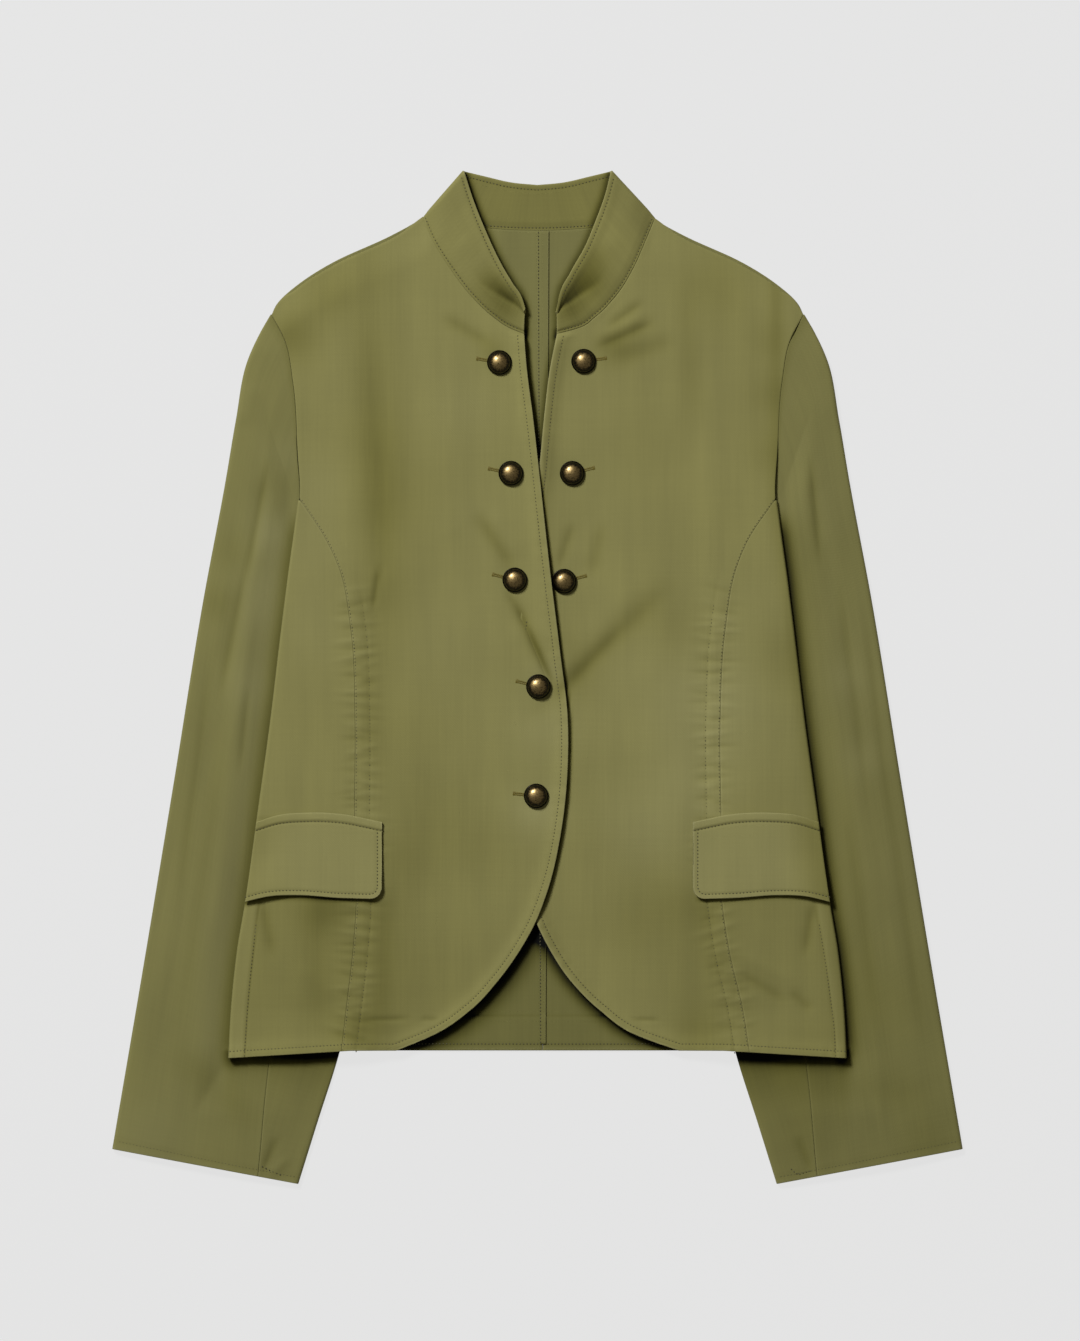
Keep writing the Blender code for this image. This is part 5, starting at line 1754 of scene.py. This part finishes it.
def twill(name, colour):
    """Olive cotton twill: fine diagonal ribs, uneven threads, soft mottling, and the tone of each place,
    which holds painted light and shade.
    """
    cloth = bpy.context.scene.jacket_cloth
    material, shader = new_material(name)
    chart = add_node(material, "ShaderNodeUVMap", uv_map="cloth").outputs["UV"]
    tone = add_node(material, "ShaderNodeAttribute", attribute_name="tone").outputs["Fac"]
    ribs = add_node(material, "ShaderNodeTexWave", wave_type="BANDS", bands_direction="DIAGONAL",
                    Scale=DIAGONAL_WAVE / cloth.twill_pitch, Distortion=0.6, Detail=1.0)
    join(material, chart, ribs.inputs["Vector"])
    warp = cloth_noise(material, chart, WARP_SCALE, detail=2.0)
    weft = cloth_noise(material, chart, WEFT_SCALE, detail=2.0)
    mottle = cloth_noise(material, chart, MOTTLE_SCALE, detail=3.0)
    streak = cloth_noise(material, chart, STREAK_SCALE, detail=2.0)
    contrast = cloth.rib_contrast + (1 + WEFT_SHARE) * cloth.thread_contrast
    contrast = contrast + cloth.mottle_contrast + cloth.streak_contrast
    bright = sum_of(material, [
        (ribs.outputs["Fac"], cloth.rib_contrast),
        (warp, cloth.thread_contrast),
        (weft, WEFT_SHARE * cloth.thread_contrast),
        (mottle, cloth.mottle_contrast),
        (streak, cloth.streak_contrast),
        (tone, cloth.tone_contrast),
    ], 1.0 - contrast / 2)
    tint = tinted(material, shader, colour, bright)
    join(material, sum_of(material, [(tone, TONE_SATURATION)], 1.0), tint.inputs["Saturation"])
    rough = sum_of(material, [(mottle, MOTTLE_ROUGH), (tone, TONE_ROUGH)], CLOTH_ROUGH)
    join(material, rough, shader.inputs["Roughness"])
    weave = [(ribs.outputs["Fac"], RIB_RELIEF), (warp, THREAD_RELIEF), (weft, THREAD_RELIEF)]
    roughen(material, shader, sum_of(material, weave, 0.0), Strength=0.35, Distance=0.00018)
    set_values(shader, Specular_IOR_Level=0.25, Sheen_Weight=cloth.sheen, Sheen_Roughness=0.45,
               Sheen_Tint=(0.80, 0.78, 0.55, 1.0))
    return material


def thread(name, colour):
    """Twisted sewing thread: a slight gloss and a fine twist along it."""
    material, shader = new_material(name)
    place = add_node(material, "ShaderNodeTexCoord").outputs["Object"]
    twist = add_node(material, "ShaderNodeTexNoise", Scale=1400.0, Detail=1.0)
    join(material, place, twist.inputs["Vector"])
    bright = sum_of(material, [(twist.outputs["Fac"], TWIST_CONTRAST)], 1.0 - TWIST_CONTRAST / 2)
    tinted(material, shader, colour, bright)
    set_values(shader, Roughness=0.55, Sheen_Weight=0.15)
    return material


def antique_brass():
    """Aged brass: bright where the dome is rubbed and carries a painted highlight, brown to black towards the
    rim, with fine pits.
    """
    brass = bpy.context.scene.jacket_buttons
    material, shader = new_material("antique_brass")
    place = add_node(material, "ShaderNodeTexCoord").outputs["Object"]
    patina = add_node(material, "ShaderNodeAttribute", attribute_name="patina").outputs["Fac"]
    blotch = add_node(material, "ShaderNodeTexNoise", Scale=760.0, Detail=4.0, Roughness=0.6)
    join(material, place, blotch.inputs["Vector"])
    pits = add_node(material, "ShaderNodeTexNoise", Scale=1500.0, Detail=2.0)
    join(material, place, pits.inputs["Vector"])
    darkened = [(patina, 1.0), (blotch.outputs["Fac"], BLOTCH_DARK), (pits.outputs["Fac"], PIT_DARK)]
    ramp = add_node(material, "ShaderNodeValToRGB")
    stops = ramp.color_ramp.elements
    stops[0].position = RUBBED_AT
    stops[0].color = (*brass.rubbed_and_highlight_colour, 1.0)
    stops[1].position = PATINA_AT
    stops[1].color = (*brass.patina_colour, 1.0)
    stops.new(BROWN_AT).color = (*brass.brown_colour, 1.0)
    join(material, sum_of(material, darkened, DARK_LEVEL), ramp.inputs["Fac"])
    join(material, ramp.outputs["Color"], shader.inputs["Base Color"])
    rough = sum_of(material, [(blotch.outputs["Fac"], BLOTCH_ROUGH), (patina, PATINA_ROUGH)], BRASS_ROUGH)
    join(material, rough, shader.inputs["Roughness"])
    roughen(material, shader, pits.outputs["Fac"], Strength=0.3, Distance=0.0001)
    set_values(shader, Metallic=1.0, Coat_Weight=0.4, Coat_Roughness=0.22)
    return material


def select_faces(made, test):
    """In edit mode, selects the faces of a mesh whose normal passes a test, and no others."""
    bpy.ops.object.mode_set(mode="OBJECT")
    for face in made.data.polygons:
        face.select = test(face.normal)
    bpy.ops.object.mode_set(mode="EDIT")


def model_button(material):
    """One domed button on the floor at the origin: a rolled rim, a groove, a dome and a shank under it."""
    low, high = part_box(BUTTONS[0].node)
    radius = (high[0] - low[0]) / 2
    height = high[2] - low[2]
    bpy.ops.object.select_all(action="DESELECT")
    bpy.ops.mesh.primitive_cylinder_add(vertices=BUTTON_SIDES, radius=radius, depth=BUTTON_RIM,
                                        location=(0, 0, BUTTON_RIM / 2))
    made = bpy.context.object
    made.name = "domed_button"
    bpy.ops.object.transform_apply(location=True, rotation=True, scale=True)
    bpy.ops.object.mode_set(mode="EDIT")
    bpy.ops.mesh.select_mode(type="FACE")
    select_faces(made, lambda normal: normal.z > NORMAL_LIMIT)
    bpy.ops.mesh.inset(thickness=BUTTON_LIP, depth=BUTTON_LIP / 2)
    bpy.ops.mesh.inset(thickness=BUTTON_LIP / 2, depth=-BUTTON_LIP)
    foot = radius - (BUTTON_LIP + BUTTON_LIP / 2)
    base = BUTTON_RIM - BUTTON_LIP / 2
    angles = np.radians(np.linspace(0, DOME_ANGLE, DOME_RINGS))
    for a, b in zip(angles, angles[1:]):
        narrower = foot * (math.cos(a) - math.cos(b))
        higher = (height - base) * (math.sin(b) - math.sin(a))
        bpy.ops.mesh.inset(thickness=narrower, depth=higher)
    bpy.ops.mesh.poke(offset=(height - base) * (1 - math.sin(angles[-1])))
    select_faces(made, lambda normal: normal.z < -NORMAL_LIMIT)
    bpy.ops.mesh.inset(thickness=BUTTON_LIP, depth=0.0)
    bpy.ops.mesh.inset(thickness=radius - BUTTON_LIP - BUTTON_SHANK, depth=0.0)
    bpy.ops.mesh.extrude_region_move(TRANSFORM_OT_translate={"value": (0, 0, -BUTTON_STANDOFF)})
    bpy.ops.object.mode_set(mode="OBJECT")
    for edge in made.data.edges:
        ends = [made.data.vertices[v].co for v in edge.vertices]
        outer = all(abs(end.xy.length - radius) < SAME_RADIUS for end in ends)
        edge.select = outer and ends[0].z == ends[1].z
    bpy.ops.object.mode_set(mode="EDIT")
    bpy.ops.mesh.select_mode(type="EDGE")
    bpy.ops.mesh.bevel(offset=BUTTON_LIP / 2, segments=BUTTON_BEVEL_STEPS)
    bpy.ops.object.mode_set(mode="OBJECT")
    bpy.ops.object.shade_smooth_by_angle(angle=math.radians(BUTTON_SMOOTH_ANGLE))
    add_patina_and_highlight(made.data, radius)
    made.data.materials.clear()
    made.data.materials.append(material)
    return made


def add_patina_and_highlight(mesh, radius):
    """Stores how dark the metal is: bright on top of the dome as rubbed brass and a painted highlight, dark
    from its foot out, rubbed on the rim.
    """
    points = np.empty(3 * len(mesh.vertices))
    mesh.vertices.foreach_get("co", points)
    points = points.reshape(-1, 3)
    out = np.hypot(points[:, 0], points[:, 1]) / radius
    patina = mesh.attributes.new("patina", "FLOAT", "POINT")
    rubbed = RIM_RUBBED * bell((out - RIM_RUBBED_AT) / RIM_RUBBED_WIDTH)
    dark = DOME_PATINA_AND_HIGHLIGHT * climb(out, DOME_PATINA_AND_HIGHLIGHT_OUT) - rubbed
    patina.data.foreach_set("value", dark.astype(np.float32))


def colour_setting(name, description, default):
    """A colour that a user may change."""
    return bpy.props.FloatVectorProperty(
        name=name, description=description, subtype="COLOR", size=3, min=0.0, max=1.0, default=default)


def share_setting(name, description, default, most=0.5):
    """A share that a user may change."""
    return bpy.props.FloatProperty(
        name=name, description=description, subtype="FACTOR", min=0.0, max=most, default=default)


def length_setting(name, description, least, most, default):
    """A short length that a user may change."""
    return bpy.props.FloatProperty(
        name=name, description=description, unit="LENGTH", min=least, max=most, default=default, precision=5)


class JacketCloth(bpy.types.PropertyGroup):
    """The jacket's cloth"""

    front_colour: colour_setting("Body", "Colour of the fronts, collar and flaps", (0.216, 0.202, 0.0685))
    # The sleeves are the same cloth as the body, drawn darker as painted shade.
    sleeve_colour: colour_setting("Sleeves", "Colour of the sleeves", (0.178, 0.167, 0.0545))
    # The back's inside is drawn darker, partly as the cloth's wrong side and partly as painted shade.
    inside_colour: colour_setting("Inside", "Colour of the back's inside", (0.172, 0.163, 0.0545))
    twill_pitch: length_setting("Twill pitch", "Distance between two of its ribs", 0.0003, 0.005, 0.0009)
    rib_contrast: share_setting("Rib contrast", "How much lighter a rib is than the gap", 0.06)
    thread_contrast: share_setting("Thread contrast", "How much single threads differ", 0.09)
    mottle_contrast: share_setting("Mottling", "How uneven the dye is", 0.16)
    streak_contrast: share_setting("Streaks", "How much the cloth differs along its length", 0.20)
    tone_contrast: share_setting("Tone", "How much creases, shadows and wear show in the cloth's tone", 0.10)
    sheen: share_setting("Sheen", "Soft shine of the cotton's fibres", 0.12, most=1.0)
    pucker_depth: length_setting("Pucker depth", "Height of the gathers along the seams", 0.0, 0.003, 0.0007)
    unevenness: length_setting("Unevenness", "Height of the slow waves of laid cloth", 0.0, 0.003, 0.0009)


class JacketSewing(bpy.types.PropertyGroup):
    """The jacket's sewing"""

    # The seams' thread is drawn dark, as thread and as painted shade for the shaded stitch holes.
    thread_and_shade_colour: colour_setting("Thread", "Colour of the seams' thread", (0.060, 0.054, 0.014))
    buttonhole_colour: colour_setting("Buttonholes", "Colour of their thread", (0.135, 0.106, 0.005))
    stitch_length: length_setting("Stitch", "Length of one stitch", 0.0005, 0.01, 0.0013)
    stitch_gap: length_setting("Gap", "Gap between two stitches", 0.0, 0.01, 0.0013)
    thread_width: length_setting("Thread width", "Thickness of the thread", 0.0001, 0.003, 0.0008)


class JacketButtons(bpy.types.PropertyGroup):
    """The jacket's buttons"""

    # The rubbed colour on top of the dome is partly a painted highlight.
    rubbed_and_highlight_colour: colour_setting("Rubbed brass", "Colour on top of the dome", (0.30, 0.212, 0.088))
    brown_colour: colour_setting("Browned brass", "Colour down the dome", (0.105, 0.073, 0.025))
    patina_colour: colour_setting("Patina", "Colour of the dark rim", (0.010, 0.007, 0.004))


class JacketStage(bpy.types.PropertyGroup):
    """Floor, light and camera"""

    floor_colour: colour_setting("Floor", "Colour of the plain floor", (0.05, 0.05, 0.05))
    floor_glow: bpy.props.FloatProperty(
        name="Floor glow", description="Light that the floor gives off, which softens the shadows on it",
        min=0.0, max=2.0, default=0.735)
    key_power: bpy.props.FloatProperty(
        name="Key light", description="Power of the broad soft light from the upper left", unit="POWER",
        min=0.0, max=5000.0, default=236.0)
    fill: bpy.props.FloatProperty(
        name="Fill", description="Strength of the even light all round", min=0.0, max=5.0, default=0.16)
    camera_height: bpy.props.FloatProperty(
        name="Camera height", description="Height of the camera above the jacket", unit="LENGTH",
        min=0.5, max=20.0, default=12.0)


class JACKET_OT_stage(bpy.types.Operator):
    """Lays the floor and sets the lights and the overhead camera"""

    bl_idname = "jacket.stage"
    bl_label = "Stage"

    def execute(self, context):
        stage = context.scene.jacket_stage
        bpy.ops.object.select_all(action="DESELECT")
        bpy.ops.mesh.primitive_plane_add(size=FLOOR_SIZE, location=(0, 0, FLOOR_LEVEL))
        floor = context.object
        floor.name = "floor"
        bpy.ops.object.transform_apply(location=True, rotation=True, scale=True)
        material, shader = new_material("pale_floor")
        set_values(shader, Base_Color=(*stage.floor_colour, 1.0), Roughness=0.9, Specular_IOR_Level=0.0,
                   Emission_Color=(1.0, 1.0, 1.0, 1.0), Emission_Strength=stage.floor_glow)
        floor.data.materials.append(material)
        bpy.ops.object.light_add(type="AREA", location=KEY_PLACE)
        key = context.object
        key.name = "key_light"
        key.data.shape = "DISK"
        key.data.size = KEY_SIZE
        key.data.energy = stage.key_power
        key.rotation_euler = (-Vector(KEY_PLACE)).to_track_quat("-Z", "Y").to_euler()
        world = bpy.data.worlds.new("soft_room")
        world.use_nodes = True
        set_values(world.node_tree.nodes["Background"], Color=FILL_COLOUR, Strength=stage.fill)
        context.scene.world = world
        context.scene.view_settings.view_transform = "Standard"
        x, y = PICTURE_CENTRE
        place = (x * MM, y * MM, stage.camera_height + FREE_RISE * MM)
        bpy.ops.object.camera_add(location=place, rotation=(0, 0, 0))
        camera = context.object
        camera.name = "overhead_camera"
        camera.data.sensor_width = CAMERA_SENSOR
        camera.data.lens = CAMERA_SENSOR * stage.camera_height / (PICTURE_HEIGHT * MM)
        context.scene.camera = camera
        return {"FINISHED"}


class JACKET_OT_fronts(bpy.types.Operator):
    """Makes the two centre panels and the two side panels of the fronts, with their sewing"""

    bl_idname = "jacket.fronts"
    bl_label = "Fronts"

    def execute(self, context):
        cloth = twill("twill_front", context.scene.jacket_cloth.front_colour)
        yarn = thread("seam_thread", context.scene.jacket_sewing.thread_and_shade_colour)
        for side in (-1, 1):
            name = side_name(side)
            sewing = sew(f"sewing_front_{name}", front_sewing(side), yarn, "twill_front")
            middle, tone = front_centre(side)
            made = shell(f"cloth_front_{name}_centre", middle, CLOTH_WALL, middle[..., :2], tone, cloth)
            dress(made, "twill_front", f"front_{name}_centre")
            middle, chart, tone = front_side(side)
            made = shell(f"cloth_front_{name}_side", middle, CLOTH_WALL, chart, tone, cloth)
            dress(made, "twill_front", f"front_{name}_side")
        return {"FINISHED"}


class JACKET_OT_back(bpy.types.Operator):
    """Makes the two halves of the back and the strip along the centre back seam"""

    bl_idname = "jacket.back"
    bl_label = "Back"

    def execute(self, context):
        cloth = twill("twill_inside", context.scene.jacket_cloth.inside_colour)
        yarn = thread("back_thread", context.scene.jacket_sewing.thread_and_shade_colour)
        hem = np.linspace(-HEM_START_X, HEM_START_X, BACK_HEM_POINTS)
        level = np.full(len(hem), CLOTH_WALL + BACK_HEM_WALL)
        line = np.stack((hem, np.full(len(hem), HEM_Y + EDGE_STITCH), level), axis=1)
        strip, strip_tone = back_strip()
        left, right = strip[:, 0], strip[:, -1]
        beside = left + (right - left) * (1 + STRIP_STITCH) / 2 + (0, 0, STRIP_WALL / 2)
        sewing = sew("sewing_back", [line, beside], yarn, "twill_inside")
        for side in (-1, 1):
            name = side_name(side)
            middle, wall, tone = back_half(side)
            made = shell(f"cloth_back_{name}", middle, wall, middle[..., :2], tone, cloth)
            dress(made, "twill_inside", f"back_{name}")
        made = shell("cloth_back_seam", strip, STRIP_WALL, strip[..., :2], strip_tone, cloth)
        dress(made, "twill_inside", "back_seam")
        return {"FINISHED"}


class JACKET_OT_sleeves(bpy.types.Operator):
    """Makes the upper and under pieces of the two sleeves, with the sewing of the cuffs"""

    bl_idname = "jacket.sleeves"
    bl_label = "Sleeves"

    def execute(self, context):
        cloth = twill("twill_sleeve", context.scene.jacket_cloth.sleeve_colour)
        yarn = thread("cuff_thread", context.scene.jacket_sewing.thread_and_shade_colour)
        across = np.linspace(*CUFF_SEWN, CUFF_POINTS)
        for side in (-1, 1):
            name = side_name(side)
            cuff = sleeve_point(side, 1, across, np.full(len(across), 1 - CUFF_STITCH / SLEEVE_LENGTH))
            cuff[:, 2] += CLOTH_WALL / 2 - CUFF_SUNK
            share, above = np.array(CUFF_TACK[side]).T
            tack = sleeve_point(side, 1, share, 1 - above / SLEEVE_LENGTH)
            tack[:, 2] += CLOTH_WALL / 2
            sewing = sew(f"sewing_cuff_{name}", [cuff, tack], yarn, "twill_sleeve")
            for part in ("upper", "under"):
                middle, chart, tone = sleeve_half(side, part)
                made = shell(f"cloth_sleeve_{name}_{part}", middle, CLOTH_WALL, chart, tone, cloth)
                dress(made, "twill_sleeve", f"sleeve_{name}_{part}")
        return {"FINISHED"}


class JACKET_OT_collar(bpy.types.Operator):
    """Makes the stand collar and its sewing"""

    bl_idname = "jacket.collar"
    bl_label = "Collar"

    def execute(self, context):
        cloth = twill("twill_collar", context.scene.jacket_cloth.front_colour)
        yarn = thread("collar_thread", context.scene.jacket_sewing.thread_and_shade_colour)
        band, wall, chart, tone = collar_band()
        sewing = sew("sewing_collar", collar_sewing(band, wall), yarn, "twill_front")
        made = shell("cloth_collar", band, wall, chart, tone, cloth)
        dress(made, "twill_front", "collar")
        return {"FINISHED"}


class JACKET_OT_flaps(bpy.types.Operator):
    """Makes the two pocket flaps and their sewing"""

    bl_idname = "jacket.flaps"
    bl_label = "Pocket flaps"

    def execute(self, context):
        cloth = twill("twill_flap", context.scene.jacket_cloth.front_colour)
        yarn = thread("flap_thread", context.scene.jacket_sewing.thread_and_shade_colour)
        for side in (-1, 1):
            name = side_name(side)
            middle, wall, tone = flap_sheet(side)
            sewing = sew(f"sewing_flap_{name}", flap_sewing(side, middle, wall), yarn, "twill_front")
            made = shell(f"cloth_flap_{name}", middle, wall, middle[..., :2], tone, cloth)
            dress(made, "twill_front", f"flap_{name}")
        return {"FINISHED"}


class JACKET_OT_buttons(bpy.types.Operator):
    """Models one domed brass button and sets a copy of it in each button's place"""

    bl_idname = "jacket.buttons"
    bl_label = "Buttons"

    def execute(self, context):
        master = model_button(antique_brass())
        for button in BUTTONS:
            low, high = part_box(button.node)
            made = master.copy()
            made.data = master.data.copy()
            made.name = f"brass_{button.node}"
            context.scene.collection.objects.link(made)
            made.location = ((low[0] + high[0]) / 2, (low[1] + high[1]) / 2, low[2])
            bpy.ops.object.select_all(action="DESELECT")
            made.select_set(True)
            context.view_layer.objects.active = made
            bpy.ops.object.transform_apply(location=True, rotation=True, scale=True)
            dress(made, "button_brass", button.node)
        bpy.data.objects.remove(master)
        return {"FINISHED"}


class JACKET_OT_buttonholes(bpy.types.Operator):
    """Sews the buttonholes that show beside the buttons"""

    bl_idname = "jacket.buttonholes"
    bl_label = "Buttonholes"

    def execute(self, context):
        yarn = thread("buttonhole_thread", context.scene.jacket_sewing.buttonhole_colour)
        for side in (-1, 1):
            parts = [buttonhole(button) for button in BUTTONS if button.side == side]
            centre, ahead, length = (np.concatenate(group) for group in zip(*parts))
            points, faces = spindles(centre, ahead, length, BUTTONHOLE_THREAD)
            made = mesh_object(f"buttonholes_{side_name(side)}", points, faces, yarn)
            dress(made, "twill_front")
        return {"FINISHED"}


class JACKET_PT_sidebar(bpy.types.Panel):
    """Lists the jacket's settings and the steps that make it"""

    bl_idname = "JACKET_PT_sidebar"
    bl_label = "Military Jacket"
    bl_space_type = "VIEW_3D"
    bl_region_type = "UI"
    bl_category = "Jacket"

    def draw(self, context):
        for group in SETTINGS:
            box = self.layout.box()
            settings = getattr(context.scene, group)
            for name in settings.bl_rna.properties.keys():
                if name not in ("rna_type", "name"):
                    box.prop(settings, name)
        for operator in OPERATORS:
            self.layout.operator(operator.bl_idname)


SETTINGS = {
    "jacket_cloth": JacketCloth,
    "jacket_sewing": JacketSewing,
    "jacket_buttons": JacketButtons,
    "jacket_stage": JacketStage,
}
OPERATORS = (
    JACKET_OT_stage,
    JACKET_OT_back,
    JACKET_OT_sleeves,
    JACKET_OT_fronts,
    JACKET_OT_collar,
    JACKET_OT_flaps,
    JACKET_OT_buttonholes,
    JACKET_OT_buttons,
)


def register():
    for group in SETTINGS.values():
        bpy.utils.register_class(group)
    for name, group in SETTINGS.items():
        setattr(bpy.types.Scene, name, bpy.props.PointerProperty(type=group))
    for operator in OPERATORS:
        bpy.utils.register_class(operator)
    bpy.utils.register_class(JACKET_PT_sidebar)


def unregister():
    bpy.utils.unregister_class(JACKET_PT_sidebar)
    for operator in reversed(OPERATORS):
        bpy.utils.unregister_class(operator)
    for name in SETTINGS:
        delattr(bpy.types.Scene, name)
    for group in SETTINGS.values():
        bpy.utils.unregister_class(group)


def main():
    register()
    bpy.ops.jacket.stage()
    bpy.ops.jacket.back()
    bpy.ops.jacket.sleeves()
    bpy.ops.jacket.fronts()
    bpy.ops.jacket.collar()
    bpy.ops.jacket.flaps()
    bpy.ops.jacket.buttonholes()
    bpy.ops.jacket.buttons()


if __name__ == "__main__":
    main()
